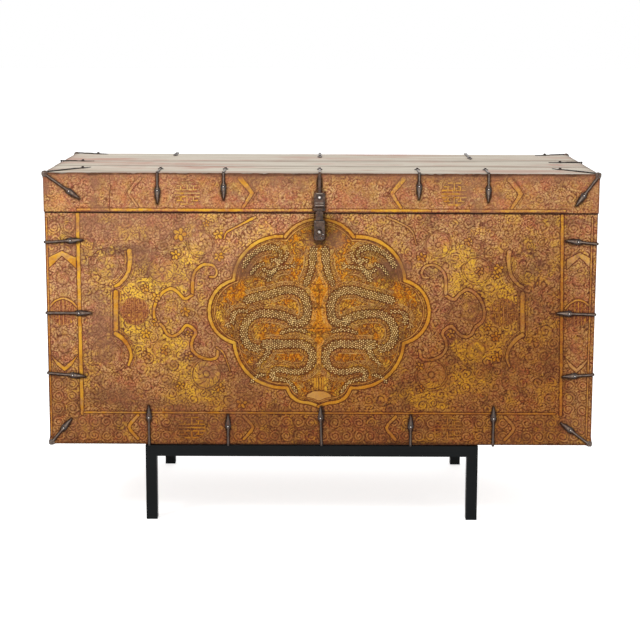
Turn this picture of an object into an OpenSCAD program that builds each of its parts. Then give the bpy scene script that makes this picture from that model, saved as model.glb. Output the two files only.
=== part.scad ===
// Painted chest with forged iron mounts, on a low stand of square steel tube.
// Millimetres. X runs along the front, Y from front to back, Z up from the floor.

/* [Chest body] */
// Length of the body along the front
body_w = 1240; // [1000:10:1500]
// Depth of the body, front to back
body_d = 520; // [420:10:640]
// Height of the body below the seam
body_h = 534; // [420:2:640]
// Thickness of the side boards
board_t = 20; // [16:1:26]
// Thickness of the bottom planks
bottom_t = 16; // [12:1:22]
// Thickness of the painted gesso skin on the front
gesso_t = 2; // [1:0.5:4]
// Dovetails at each upright corner of the body
tail_count = 5; // [3:1:7]
// How much wider a dovetail is at its end than at its root, on each side
tail_flare = 5; // [2:1:8]

/* [Lid] */
// Height of the lid
lid_h = 88.6; // [76:0.2:130]
// How far the lid stands out past the body on every side
lid_overhang = 1.5; // [0.5:0.5:4]
// Thickness of the top planks
plank_t = 20; // [14:1:26]
// Gap between the closed lid and the body
seam_gap = 0.4; // [0.2:0.1:1]
// Depth of the first plank joint, measured from the lid's front
joint_front = 175; // [140:5:200]
// Depth of the second plank joint at the left end
joint_back_left = 296; // [270:2:330]
// Depth of the second plank joint at the right end
joint_back_right = 338; // [300:2:350]
// Gap between two top planks
plank_gap = 0.8; // [0.3:0.1:3]
// Width of the battens under the planks
batten_w = 42; // [30:1:60]
// Thickness of the battens
batten_t = 14; // [10:1:20]
// Distance of each batten from the lid's end
batten_inset = 190; // [140:5:260]

/* [Stand] */
// Length of the stand
stand_l = 763; // [600:5:900]
// Height of the stand
stand_h = 175.5; // [120:0.5:300]
// Side of the square tube
tube = 25.4; // [20:0.2:32]
// Wall of the square tube
tube_wall = 1.6; // [1.2:0.1:3]
// Thickness of the plate that closes each foot
foot_t = 3; // [2:0.5:5]
// How far the stand sits to the left of the chest's centre
stand_shift = 20; // [0:2:60]

/* [Forged cleats] */
// Thickness of a cleat along its ridge
iron_t = 3; // [2:0.2:4]
// Thickness of a cleat at its edges
iron_edge_t = 1.4; // [0.8:0.2:1.8]
// Width of a cleat's shaft
shaft_w = 5.4; // [4:0.2:8]
// Length of the leaf at the end of a cleat
leaf_l = 39; // [30:1:48]
// Width of the leaf
leaf_w = 13.4; // [10:0.2:18]
// Length of the cleats' arms on the lid's front
lid_drop = 60; // [50:1:70]
// Length of the cleats' arms on the lid's top
lid_reach = 116; // [90:2:140]
// Length of the arms over the lid's ends
end_reach = 78; // [60:2:100]
// Depth of the cleat over each end of the lid, from the lid's front
end_cleat_depth = 288; // [240:2:288]
// Distance of the outer lid cleats from the middle
lid_cleat_outer = 370; // [320:2:420]
// Distance of the inner lid cleats from the middle
lid_cleat_inner = 218.5; // [180:0.5:235]
// Distance of the outer base cleats from the middle
base_cleat_outer = 394; // [350:2:430]
// Distance of the inner base cleats from the middle
base_cleat_inner = 209; // [180:1:235]
// Distance of the top edge cleats below the seam
edge_from_seam = 68; // [50:2:90]
// Distance of the bottom edge cleats above the body's underside
edge_from_base = 166; // [120:2:180]
// Length of the long arms up from the base
base_long = 90; // [70:2:110]
// Length of the short arms up from the base
base_short = 70; // [55:2:85]
// Length of the arms under the base
base_under = 86; // [60:2:110]
// Length of the arms round the body's left front edge
edge_left = 88; // [60:2:110]
// Length of the arms round the body's right front edge
edge_right = 74; // [60:2:110]
// Radius of a corner mount's knob
knob_r = 8; // [7:0.5:12]
// How far a corner mount's knob stands out past the wood
knob_proud = 4; // [3:0.5:6]
// How far a cleat strays at most from its even place, as the smith set it by eye
stray = 3.5; // [0:0.5:6]

/* [Nails] */
// Radius of a nail's head
nail_r = 3.2; // [2.4:0.2:4]
// Height of a nail's head
nail_h = 2.6; // [1.6:0.2:4]
// Radius of the two large nails of the hasp
stud_nail_r = 4.6; // [3.6:0.2:6]

/* [Hinges] */
// Distance of the outer hinges from the chest's centre
hinge_spread = 364; // [280:4:480]
// How far the hasp, the middle hinge and the medallion sit to the left of the chest's centre
middle_shift = 4; // [0:1:10]
// Length of a hinge's three knuckles together
hinge_w = 30; // [24:1:44]
// Radius of a hinge knuckle
knuckle_r = 5; // [4:0.2:7]
// Radius of a hinge pin
hinge_pin_r = 2.45; // [1.8:0.05:3]
// Clearance round a pin
pin_clear = 0.05; // [0.02:0.01:0.1]
// Length of a hinge strap down the body's back
strap_down = 110; // [80:2:150]
// Length of the middle hinge strap on the lid's top
strap_middle = 119; // [80:2:150]
// Length of the left hinge strap on the lid's top
strap_left = 80; // [60:2:120]
// Length of the right hinge strap on the lid's top
strap_right = 154; // [120:2:180]

/* [Hasp] */
// Width of the hasp's plates
hasp_w = 24; // [20:1:30]
// Width of the hasp's waist
waist_w = 17; // [14:1:19]
// Thickness of the hasp and its plates
hasp_t = 2.5; // [2:0.1:3.5]
// Length of the hasp below its pin
hasp_l = 62; // [58:1:76]
// Distance from the pin to the lower end of the waist
waist_to = 23; // [18:1:26]
// Radius of the rolled bead across the hasp below its waist
bead_r = 1.7; // [1:0.1:2.4]
// Height of the hasp's pin above the seam
hasp_rise = 8.5; // [7:0.5:14]
// Height of the plate above the hasp's pin
hasp_plate_h = 37; // [30:1:44]
// Radius of a hasp knuckle
hasp_knuckle_r = 4; // [3.5:0.1:5]
// Radius of the hasp's pin
hasp_pin_r = 1.75; // [1.2:0.05:2]
// Distance of the lock stud below the hasp's pin
stud_drop = 50; // [46:1:54]
// Radius of the lock stud's ball
stud_r = 4.5; // [4:0.1:5.5]
// Radius of the eye through the lock stud
stud_eye_r = 2; // [1.5:0.1:2.4]
// Radius of the hole that lets the stud through the hasp
hasp_hole_r = 6.5; // [6:0.1:8]
// Angle at which the lifted hasp stands out from the front
hasp_lift = 12; // [11:0.5:20]

/* [Gesso decoration] */
// How far the raised gesso lines stand out
relief_t = 1.2; // [0.6:0.2:2]
// Width of the gilt band round the medallion
band_w = 10; // [6:1:14]
// Width of the fine line inside the medallion's band
inner_line_w = 3.2; // [2:0.2:5]
// Half the length of the medallion
medallion_rx = 249; // [180:1:280]
// Room above and below the medallion, up to the seam and down to the lower line
medallion_room = 19; // [14:1:40]
// How far the medallion sits above the middle of its field
medallion_lift = 4; // [0:1:12]
// Width of the straight gilt lines
line_w = 6; // [4:0.5:10]
// Distance of the upright lines from the body's ends
line_inset = 76; // [50:2:110]
// Height of the lower line above the body's underside
base_line = 74; // [50:2:100]
// Width of the bracket lines beside the medallion
bracket_w = 10.4; // [6:0.2:14]
// Width of the cloud-shaped line beside the medallion
cloud_w = 8; // [5:0.5:11]
// Radius of the round fret panels in the borders
fret_r = 28; // [20:1:34]
// Width of the bars in a fret panel
fret_w = 3; // [2:0.2:4]
// Distance of the round fret panels from the middle
fret_spread = 294; // [220:2:360]
// Distance of the inner brackets' points from the middle, in the two long borders
chevron_near = 154; // [120:2:180]
// Distance of the outer brackets' points from the middle, in the two long borders
chevron_far = 439; // [400:1:480]
// Radius of the round scrolls in the borders
scroll_r = 14; // [8:0.5:16]
// Width of a scroll's raised line
scroll_w = 3; // [2:0.2:4]
// Distance between two scrolls of a border
scroll_step = 27; // [24:0.5:40]

/* [Hidden] */

// Heights above the floor
base_z = stand_h + iron_t;
seam_z = base_z + body_h;
lid_z = seam_z + seam_gap;
top_z = lid_z + lid_h;
plank_z = top_z - plank_t;

// Outer faces of the body and the lid
x_body = body_w / 2;
y_body = body_d / 2;
x_lid = x_body + lid_overhang;
y_lid = y_body + lid_overhang;
y_front_board = -y_body + gesso_t;
y_front_rail = -y_lid + gesso_t;

// Places of the forged cleats along the front, from left to right, with the smith's small differences
lid_cleat_x = [-lid_cleat_outer + stray, -lid_cleat_inner, lid_cleat_inner, lid_cleat_outer + stray];
lid_cleat_drop = stray * [2, -0.6, -1.1, 0.6];
base_cleat_x = [
    -base_cleat_outer + 0.4 * stray, -base_cleat_inner - 0.8 * stray, 0.6 * stray,
    base_cleat_inner - 0.8 * stray, base_cleat_outer + 0.4 * stray
];
base_cleat_lean = [0, 0, -2, 0, 0];
// Heights of the edge cleats above the body's underside, and their slight slopes
edge_middle = (body_h - edge_from_seam + edge_from_base) / 2 - 3.2 * stray;
edge_cleat_rise = [body_h - edge_from_seam, edge_middle, edge_from_base];
edge_cleat_slope_left = [4, 0, -5];
edge_cleat_slope_right = [6, 2, -4];
edge_cleat_longer = stray * [-1.1, 3.4, -1.4];

// Directions of the corner mounts' arms, along X and down or up, on the lid and on the base
lid_arm_left = [80, 57.5];
lid_arm_right = [51, 70];
lid_arm_top = [91, 127];
lid_arm_top_back = [86, 33];
lid_arm_side = [64, 60];
base_arm_left = [50, 59];
base_arm_right = [70, 53];
base_arm_under = [60, 60];
base_arm_side = [56, 56];

hinge_x = [-hinge_spread, -middle_shift, hinge_spread];
hinge_bore_r = hinge_pin_r + pin_clear;
// The hinge axis lies in the seam, just clear of the lid's back
fit_gap = 0.3;
hinge_y = y_lid + fit_gap + knuckle_r;
hinge_z = seam_z;
knuckle_l = (hinge_w - 2 * fit_gap) / 3;

hasp_bore_r = hasp_pin_r + pin_clear;
hasp_y = -y_lid - fit_gap - hasp_knuckle_r;
hasp_z = seam_z + hasp_rise;
hasp_knuckle_l = 10;
hasp_side_l = (hasp_w - hasp_knuckle_l) / 2 - fit_gap;
stud_plate_t = 2;
stud_z = hasp_z - stud_drop;
stud_face_y = -y_body - stud_plate_t;
stud_neck_r = 3;
stud_centre = hasp_t + 0.5 + stud_r;

rail_z = stand_h - tube;
stand_left = -stand_shift - stand_l / 2;
stand_right = -stand_shift + stand_l / 2;
stand_y = y_body;

wood_colour = [0.44, 0.27, 0.17];
grey_wood = [0.72, 0.68, 0.62];
paint_colour = [0.60, 0.38, 0.25];
gilt_colour = [0.80, 0.58, 0.22];
iron_colour = [0.27, 0.22, 0.21];
steel_colour = [0.13, 0.14, 0.15];

/* Where a flat piece drawn in XY, with its thickness along Z, lies on each side of the chest. */
module on_front(x, z, y = -y_body, turn = 0) {
    translate([x, y, z]) rotate([90, 0, 0]) rotate([0, 0, turn]) children();
}
module on_back(x, z, y = y_body, turn = 0) {
    translate([x, y, z]) rotate([90, 0, 180]) rotate([0, 0, turn]) children();
}
module on_left(y, z, x = -x_body, turn = 0) {
    translate([x, y, z]) rotate([90, 0, -90]) rotate([0, 0, turn]) children();
}
module on_right(y, z, x = x_body, turn = 0) {
    translate([x, y, z]) rotate([90, 0, 90]) rotate([0, 0, turn]) children();
}
module on_top(x, y, z = top_z, turn = 0) {
    translate([x, y, z]) rotate([0, 0, turn]) children();
}
module under(x, y, z = base_z, turn = 0) {
    translate([x, y, z]) rotate([180, 0, 0]) rotate([0, 0, turn]) children();
}

/* Forged leaf-tipped arm. It lies along +X from its root, flat on Z = 0, with a ridge along the middle. */
function leaf_half_width(s) =
    let (body = leaf_w / 2 * pow(sin(180 * pow(s, 0.62)), 0.9))
    max(body * (1 - 0.35 * s), 0.9 * (1 - s) + 0.45);

function arm_side(length, width, steps = 11) = concat(
    [[0, width / 2], [(length - leaf_l) * 0.6, width * 0.40]],
    [for (i = [0 : steps])
        let (s = i / steps)
        [length - leaf_l + leaf_l * s, max(leaf_half_width(s), (i == 0) ? width * 0.36 : 0)]]
);

module arm(length, width = shaft_w, back = 0) {
    side = arm_side(length, width);
    outline = concat(
        [[-back, width / 2]], side,
        [for (i = [len(side) - 1 : -1 : 0]) [side[i][0], -side[i][1]]],
        [[-back, -width / 2]]
    );
    ridge = [
        [-leaf_w, 0], [leaf_w, 0],
        [leaf_w, iron_edge_t - (iron_t - iron_edge_t)],
        [0, iron_t],
        [-leaf_w, iron_edge_t - (iron_t - iron_edge_t)]
    ];
    intersection() {
        linear_extrude(height = iron_t) polygon(outline);
        translate([-back - 1, 0, 0])
            rotate([90, 0, 90])
                linear_extrude(height = length + back + 2) polygon(ridge);
    }
}

// Where the nail of an arm sits, measured from its root
function nail_at(length) = length - leaf_l * 0.70;

module nail_head(r = nail_r, h = nail_h) {
    rotate_extrude($fn = 24)
        polygon(concat(
            [[0, 0], [r, 0]],
            [for (a = [15 : 15 : 75]) [r * cos(a), h * sin(a)]],
            [[0, h]]
        ));
}
module arm_nail(length) {
    translate([nail_at(length), 0, iron_t]) nail_head();
}

/* Three-armed corner mount at the origin, with the wood on the +X, +Y and +Z sides. */
module corner_mount(front, flat, side) {
    inset = knob_r - knob_proud;
    difference() {
        union() {
            translate([inset, inset, inset]) sphere(r = knob_r, $fn = 32);
            translate([0, 0, 0]) rotate([90, 0, 0]) rotate([0, 0, atan2(front[1], front[0])])
                arm(norm(front), back = iron_t / 2);
            mirror([0, 0, 1]) rotate([0, 0, atan2(flat[1], flat[0])])
                arm(norm(flat), back = iron_t / 2);
            rotate([90, 0, -90]) mirror([1, 0, 0]) rotate([0, 0, atan2(side[1], side[0])])
                arm(norm(side), back = iron_t / 2);
        }
        cube(2 * max(norm(front), norm(flat), norm(side)));
    }
}
module corner_nails(front, flat, side) {
    rotate([90, 0, 0]) rotate([0, 0, atan2(front[1], front[0])]) arm_nail(norm(front));
    if (norm(flat) > 0)
        mirror([0, 0, 1]) rotate([0, 0, atan2(flat[1], flat[0])]) arm_nail(norm(flat));
    rotate([90, 0, -90]) mirror([1, 0, 0]) rotate([0, 0, atan2(side[1], side[0])]) arm_nail(norm(side));
}
// Sets a corner piece at one corner: sx, sy and sz are 1 where the wood lies on the positive side
module at_corner(x, y, z, sx, sy, sz) {
    translate([x, y, z])
        mirror([sx < 0 ? 1 : 0, 0, 0])
            mirror([0, sy < 0 ? 1 : 0, 0])
                mirror([0, 0, sz < 0 ? 1 : 0])
                    children();
}

/* Body boards, dovetailed at the upright corners. */
tail_pitch = body_h / tail_count;
tail_root = tail_pitch * 0.5;

tail_heights = [for (i = [0 : tail_count - 1]) tail_pitch * (i + 0.5)];

// Outline of one dovetail, and of a board with dovetails at both ends, `edge` being half its length
function tail(edge, root, z) = [
    [edge - board_t, z - root / 2], [edge, z - root / 2 - tail_flare],
    [edge, z + root / 2 + tail_flare], [edge - board_t, z + root / 2]
];
module tailed_2d(edge, tall, root, heights) {
    end = concat(
        [[edge - board_t, 0]],
        [for (z = heights) for (p = tail(edge, root, z)) p],
        [[edge - board_t, tall]]
    );
    polygon(concat(end, backwards(flip(end))));
}
module tailed_board(y) {
    translate([0, y + board_t, base_z]) rotate([90, 0, 0])
        linear_extrude(height = board_t) tailed_2d(x_body, body_h, tail_root, tail_heights);
}
module end_board(sign) {
    difference() {
        translate([sign > 0 ? x_body - board_t : -x_body, y_front_board, base_z])
            cube([board_t, y_body - y_front_board, body_h]);
        for (y = [y_front_board, y_body - board_t])
            translate([0, y + board_t, base_z]) rotate([90, 0, 0])
                linear_extrude(height = board_t)
                    mirror([sign < 0 ? 1 : 0, 0])
                        for (z = tail_heights)
                            polygon(tail(x_body, tail_root, z));
    }
}
module front_board() {
    color(wood_colour) tailed_board(y_front_board);
}
module back_board() {
    color(wood_colour) tailed_board(y_body - board_t);
}
module left_end_board() {
    color(wood_colour) end_board(-1);
}
module right_end_board() {
    color(wood_colour) end_board(1);
}

bottom_front = y_front_board + board_t;
bottom_back = y_body - board_t;
bottom_each = (bottom_back - bottom_front) / 3;
module bottom_plank(i) {
    translate([-(x_body - board_t), bottom_front + i * bottom_each + (i > 0 ? plank_gap / 2 : 0), base_z])
        cube([
            2 * (x_body - board_t),
            bottom_each - (i == 1 ? plank_gap : plank_gap / 2),
            bottom_t
        ]);
}
module bottom_plank_front() {
    color(wood_colour) bottom_plank(0);
}
module bottom_plank_middle() {
    color(wood_colour) bottom_plank(1);
}
module bottom_plank_back() {
    color(wood_colour) bottom_plank(2);
}

module front_gesso() {
    color(paint_colour)
        translate([-x_body, -y_body, base_z]) cube([body_w, gesso_t, body_h]);
}

/* Raised gesso lines. Paths are drawn in millimetres from the middle of the medallion, for a body of the
   usual size, and fitted to this one. */
drawn_half = 620;
drawn_h = 534;
function fit(path) = [for (p = path) [p[0] * x_body / drawn_half, medallion_rise + p[1] * body_h / drawn_h]];
function flip(path) = [for (p = path) [-p[0], p[1]]];

// A smooth path through points, with steps between each pair
function bend(a, b, c, d, t) =
    0.5 * (2 * b + (c - a) * t + (2 * a - 5 * b + 4 * c - d) * t * t + (3 * b - a - 3 * c + d) * t * t * t);
function smooth(path, steps = 3) =
    let (n = len(path) - 1)
    concat(
        [for (i = [0 : n - 1])
            let (
                before = i > 0 ? path[i - 1] : 2 * path[0] - path[1],
                after = i < n - 1 ? path[i + 2] : 2 * path[n] - path[n - 1]
            )
            for (k = [0 : steps - 1]) bend(before, path[i], path[i + 1], after, k / steps)],
        [path[n]]
    );
// Points clockwise along the circle through a, b and c, without the last
function lobe(a, b, c, n) =
    let (
        d = 2 * (a[0] * (b[1] - c[1]) + b[0] * (c[1] - a[1]) + c[0] * (a[1] - b[1])),
        x = (a * a * (b[1] - c[1]) + b * b * (c[1] - a[1]) + c * c * (a[1] - b[1])) / d,
        y = (a * a * (c[0] - b[0]) + b * b * (a[0] - c[0]) + c * c * (b[0] - a[0])) / d,
        r = norm(a - [x, y]),
        from = atan2(a[1] - y, a[0] - x),
        drop = from - atan2(c[1] - y, c[0] - x),
        turn = drop < 0 ? drop + 360 : drop
    )
    [for (k = [0 : n - 1]) [x + r * cos(from - turn * k / n), y + r * sin(from - turn * k / n)]];

// A point of a path moved sideways, and the outline of a line that runs from one width to another
function beside(a, b, p, w) = let (run = (b - a) / norm(b - a)) p + w * [-run[1], run[0]];
function line_side(path, w, w_end) =
    let (n = len(path) - 1)
    [for (i = [0 : n])
        beside(path[max(i - 1, 0)], path[min(i + 1, n)], path[i], (w + (w_end - w) * i / n) / 2)];
function backwards(path) = [for (i = [len(path) - 1 : -1 : 0]) path[i]];
module line_2d(path, w, w_end = 0) {
    end = w_end > 0 ? w_end : w;
    polygon(concat(line_side(path, w, end), backwards(line_side(path, -w, -end))));
}
// A line of even width round a closed loop
function grown(loop, by) =
    let (n = len(loop))
    [for (i = [0 : n - 1]) beside(loop[(i + n - 1) % n], loop[(i + 1) % n], loop[i], by)];
module loop_2d(loop, w) {
    difference() {
        polygon(grown(loop, w / 2));
        polygon(grown(loop, -w / 2));
    }
}
module ring_2d(r, w) {
    difference() {
        circle(r = r, $fn = 24);
        circle(r = r - w, $fn = 24);
    }
}

// Rows of short bars set inside a round
module fret_2d(r, tall = 1) {
    pitch = 0.29 * r;
    for (row = [-3 : 3], side = [-1, 1]) {
        reach = sqrt(r * r - row * row * pitch * pitch);
        inset = row == 0 ? -1 : row % 2 == 0 ? 0.34 * r : 0.12 * r;
        translate([side > 0 ? inset : -reach, row * pitch * tall - fret_w / 2])
            square([reach - inset, fret_w]);
    }
    for (side = [-1, 1]) {
        translate([-fret_w / 2, side > 0 ? 0 : -3 * pitch * tall])
            square([fret_w, 3 * pitch * tall]);
        for (x = [-r / 2, r / 2])
            translate([x - fret_w / 2, side > 0 ? pitch * tall : -2 * pitch * tall])
                square([fret_w, pitch * tall]);
    }
}
// Loose flower: petals round a heart, inside a fine ring
module rosette_2d(r, petals = 8) {
    ring_2d(r, r * 0.09);
    circle(r = r * 0.2, $fn = 24);
    for (i = [0 : petals - 1])
        rotate(360 / petals * i)
            line_2d([[r * 0.15, 0], [r * 0.48, r * 0.1], [r * 0.7, r * 0.1], [r * 0.94, 0]], r * 0.12, r * 0.26);
}
module scrolls_2d(y, reach) {
    count = floor((reach - scroll_r) / scroll_step);
    for (i = [-count : count]) {
        x = i * scroll_step;
        near = min([for (at = [fret_spread, chevron_near, chevron_far]) abs(abs(x) - at) - (at == fret_spread ? fret_r : 0)]);
        if (near > scroll_r + 4)
            translate([x, y]) {
                ring_2d(scroll_r, scroll_w);
                ring_2d(scroll_r / 2, scroll_w);
                translate([scroll_r / 4, -scroll_w / 2]) square([scroll_r * 0.65, scroll_w]);
            }
    }
}

// Brackets of the two long borders: each path is a share of the border's height, from its point
lid_bracket = [[0.293, 0.858], [0.1, 0.632], [0, 0.497], [0.068, 0.372], [0.226, 0.135]];
base_bracket = [[0.309, 0.97], [0.059, 0.706], [0, 0.588], [0.059, 0.456], [0.309, 0.176]];
module brackets_2d(path, tall) {
    for (sign = [-1, 1])
        for (at = [chevron_near, chevron_far])
            translate([sign * at, 0])
                mirror([sign * (at - fret_spread) > 0 ? 1 : 0, 0])
                    line_2d(tall * path, 1.5 * line_w, line_w);
}

// Right half of the medallion, clockwise from its top, as shares of its half length and half height
medallion_rz = (body_h - base_line) / 2 - medallion_room;
medallion_rise = (body_h + base_line) / 2 + medallion_lift;
function on_medallion(path) = [for (p = path) [p[0] * medallion_rx, p[1] * medallion_rz]];
cusps = on_medallion([[0, 1], [0.309, 0.815], [0.775, 0.346], [0.771, -0.336], [0.293, -0.829]]);
crowns = on_medallion([[0.153, 0.967], [0.627, 0.697], [1, 0.005], [0.647, -0.673]]);
foot = on_medallion([[0.293, -0.829], [0.249, -0.924], [0.177, -0.981], [0.08, -1], [0, -1.038]]);
medallion_half = concat(
    [for (i = [0 : 3]) for (p = lobe(cusps[i], crowns[i], cusps[i + 1], [5, 9, 10, 9][i])) p],
    smooth(foot, 2)
);
medallion = concat(
    medallion_half,
    [for (i = [len(medallion_half) - 2 : -1 : 1]) [-medallion_half[i][0], medallion_half[i][1]]]
);
// Beaded bodies of the two facing beasts, and the column between them, from the chest's middle
drawn_rx = 249;
drawn_rz = 211;
function in_medallion(path) =
    [for (p = path) [p[0] / drawn_rx * medallion_rx, p[1] / drawn_rz * medallion_rz]];
beasts = [
    [[[13, 142], [15, 118], [18, 97], [24, 80], [30, 66]], 18, 14],
    [[[162, 28], [132, 37], [107, 42], [83, 50], [58, 50], [38, 41], [28, 23], [26, 2], [31, -17],
        [45, -26], [62, -22]], 19, 19],
    [[[62, -17], [83, -8], [107, -4], [131, -3], [155, -12], [169, -33], [170, -58], [160, -77], [141, -84]],
        21, 18],
    [[[121, -74], [90, -74], [62, -73], [38, -74], [19, -88], [15, -107], [22, -126], [41, -137], [65, -137],
        [90, -132], [105, -137], [103, -153], [83, -156], [65, -165], [53, -183]], 22, 9],
    [[[114, -86], [121, -102], [136, -117]], 15, 8],
    [[[169, 107], [155, 129], [131, 144], [107, 148], [88, 139], [90, 122], [107, 118]], 15, 10],
    [[[114, 76], [107, 90], [90, 101], [69, 104]], 13, 10],
    [[[195, -22], [196, -8], [183, 2], [165, 2]], 13, 10],
    [[[124, 97], [106, 91], [91, 112], [78, 120], [72, 136]], 10, 8],
    [[[152, 90], [141, 104], [126, 110]], 10, 8],
    [[[84, -47], [66, -41], [48, -40], [32, -44]], 10, 10],
    [[[152, -160], [140, -148], [124, -145]], 10, 7]
];
column = [
    [0, 157], [5, 152], [4, 117], [9, 104], [3, 94], [10, 77], [19, 64], [20, 37], [14, 17],
    [17, -8], [21, -26], [29, -33], [29, -41], [10, -46], [5, -54], [13, -66], [5, -80], [4, -126], [0, -132]
];
module medallion_2d() {
    loop_2d(medallion, band_w);
    loop_2d(0.95 * medallion, inner_line_w);
    for (side = [-1, 1])
        mirror([side < 0 ? 1 : 0, 0])
            for (beast = beasts)
                line_2d(smooth(in_medallion(beast[0])), beast[1], beast[2]);
    polygon(concat(in_medallion(column), backwards(flip(in_medallion(column)))));
    translate([0, in_medallion([[0, -196]])[0][1]])
        polygon([for (a = [0 : 15 : 345]) [0.117 * medallion_rx * cos(a), 0.066 * medallion_rz * sin(a)]]);
}

// Bracket, fret, flowers and cloud line beside the medallion, drawn on the left
cloud = [
    [-290, 39], [-308, 30], [-322, 44], [-338, 53], [-357, 44], [-371, 25], [-378, 2], [-374, -19],
    [-358, -34], [-349, -50], [-335, -56], [-318, -46], [-304, -31], [-288, -40], [-284, -50], [-291, -64],
    [-293, -83], [-282, -99], [-259, -109], [-238, -106], [-233, -88]
];
hook = [[-290, 44], [-289, 76], [-282, 95], [-263, 108], [-244, 106], [-235, 93], [-239, 81], [-250, 80]];
bracket_bar = [[-463, 44], [-464, -8], [-465, -53]];
bracket_up = [[-431, 138], [-430, 117], [-436, 87], [-452, 66], [-464, 58]];
bracket_down = [[-465, -51], [-449, -63], [-436, -82], [-431, -103], [-437, -124]];
flowers = [[-480, 102, 27], [-479, -99, 27], [-271, 155, 30], [-359, 97, 26], [-260, -144, 34], [-360, -87, 20]];
fret_at = [-421, 1];
module cartouche_2d() {
    line_2d(fit(bracket_bar), bracket_w);
    line_2d(smooth(fit(bracket_up)), bracket_w, bracket_w / 2);
    line_2d(smooth(fit(bracket_down)), bracket_w, bracket_w / 2);
    line_2d(smooth(fit(cloud), 2), cloud_w);
    line_2d(smooth(fit(hook), 2), cloud_w, cloud_w * 0.6);
    translate(fit([fret_at])[0]) rotate(90) fret_2d(fret_r);
    for (flower = flowers)
        translate(fit([flower])[0]) rosette_2d(flower[2]);
}

// Upright band outside a gilt line: an arch, a fret and a pointed foot
side_band_inset = 37;
arch = [
    [-31, 97], [-31, 117], [-17, 122], [0, 139], [17, 122], [31, 117], [31, 97], [16, 120], [0, 128], [-16, 120]
];
pointed_foot = [[-31, -100], [-17, -124], [0, -138], [17, -124], [31, -100], [19, -112], [0, -128], [-19, -112]];
// Its small scrolls in pairs, above the lower line and below the body's top
band_scrolls_up = [10, 38, 66];
band_scrolls_down = [34, 64];
module side_band_2d() {
    heights = concat([for (up = band_scrolls_up) base_line + up], [for (down = band_scrolls_down) body_h - down]);
    translate([x_body - side_band_inset, 0]) {
        polygon(fit(arch));
        polygon(fit(pointed_foot));
        translate(fit([[0, -2]])[0]) rotate(90) fret_2d(fret_r);
        for (y = heights, side = [-1, 1])
            translate([side * (scroll_r - 0.5), y]) ring_2d(scroll_r, scroll_w);
    }
}

module front_relief() {
    line_top = body_h - 3;
    border = base_line - line_w;
    color(gilt_colour)
        difference() {
            on_front(0, base_z)
                linear_extrude(height = relief_t) {
                    translate([-middle_shift, medallion_rise]) medallion_2d();
                    for (sign = [-1, 1]) {
                        mirror([sign > 0 ? 1 : 0, 0]) cartouche_2d();
                        mirror([sign < 0 ? 1 : 0, 0]) side_band_2d();
                        translate([sign * (x_body - line_inset) - line_w / 2, base_line - line_w])
                            square([line_w, line_top - base_line + line_w]);
                        translate([sign * fret_spread, border / 2]) {
                            fret_2d(fret_r, 0.88);
                            ring_2d(fret_r + 4.5, 2.5);
                        }
                    }
                    translate([-(x_body - line_inset), border])
                        square([2 * (x_body - line_inset), line_w]);
                    brackets_2d(base_bracket, border);
                    scrolls_2d(border * 0.71, x_body);
                    scrolls_2d(border * 0.31, x_body);
                }
            iron_clearance();
        }
}
// Room for the ironwork that lies across the raised lines
iron_gap = 1;
module arm_room(length, wide = leaf_w) {
    translate([-iron_t, -wide / 2 - iron_gap, -1])
        cube([length + iron_t + iron_gap, wide + 2 * iron_gap, iron_t]);
}
// Room for a corner mount's arm and knob, with the corner at the origin
module corner_room(arm) {
    rotate([0, 0, atan2(arm[1], arm[0])]) arm_room(norm(arm));
    translate([-1, -1, -1]) cube([2 * knob_r, 2 * knob_r, iron_t]);
}
module iron_clearance() {
    for (i = [0 : len(base_cleat_x) - 1])
        on_front(base_cleat_x[i], base_z, turn = 90 - base_cleat_lean[i]) arm_room(base_cleat_l(i));
    for (sign = [-1, 1]) {
        slope = sign < 0 ? edge_cleat_slope_left : edge_cleat_slope_right;
        length = sign < 0 ? edge_left : edge_right;
        for (i = [0 : len(edge_cleat_rise) - 1])
            on_front(sign * x_body, base_z + edge_cleat_rise[i])
                mirror([sign > 0 ? 1 : 0, 0, 0])
                    rotate([0, 0, slope[i]]) arm_room(length + edge_cleat_longer[i]);
        on_front(sign * x_body, base_z)
            mirror([sign > 0 ? 1 : 0, 0, 0]) corner_room(sign < 0 ? base_arm_left : base_arm_right);
    }
    on_front(-middle_shift, stud_z)
        translate([-hasp_w / 2 - 3, -plate_down - 2, -1])
            cube([hasp_w + 6, seam_z - stud_z + plate_down + 3, iron_t + 2]);
}

/* Lid boards. */
lid_side_h = plank_z - lid_z;
lid_tail_root = lid_side_h * 0.5;
module lid_rail(y) {
    translate([0, y + board_t, lid_z]) rotate([90, 0, 0])
        linear_extrude(height = board_t) tailed_2d(x_lid, lid_side_h, lid_tail_root, [lid_side_h / 2]);
}
module lid_end(sign) {
    difference() {
        translate([sign > 0 ? x_lid - board_t : -x_lid, y_front_rail, lid_z])
            cube([board_t, y_lid - y_front_rail, lid_side_h]);
        for (y = [y_front_rail, y_lid - board_t])
            translate([0, y + board_t, lid_z]) rotate([90, 0, 0])
                linear_extrude(height = board_t)
                    mirror([sign < 0 ? 1 : 0, 0]) polygon(tail(x_lid, lid_tail_root, lid_side_h / 2));
    }
}
module lid_front_rail() {
    color(wood_colour) lid_rail(y_front_rail);
}
module lid_back_rail() {
    color(wood_colour) lid_rail(y_lid - board_t);
}
module lid_left_end() {
    color(wood_colour) lid_end(-1);
}
module lid_right_end() {
    color(wood_colour) lid_end(1);
}

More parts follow.
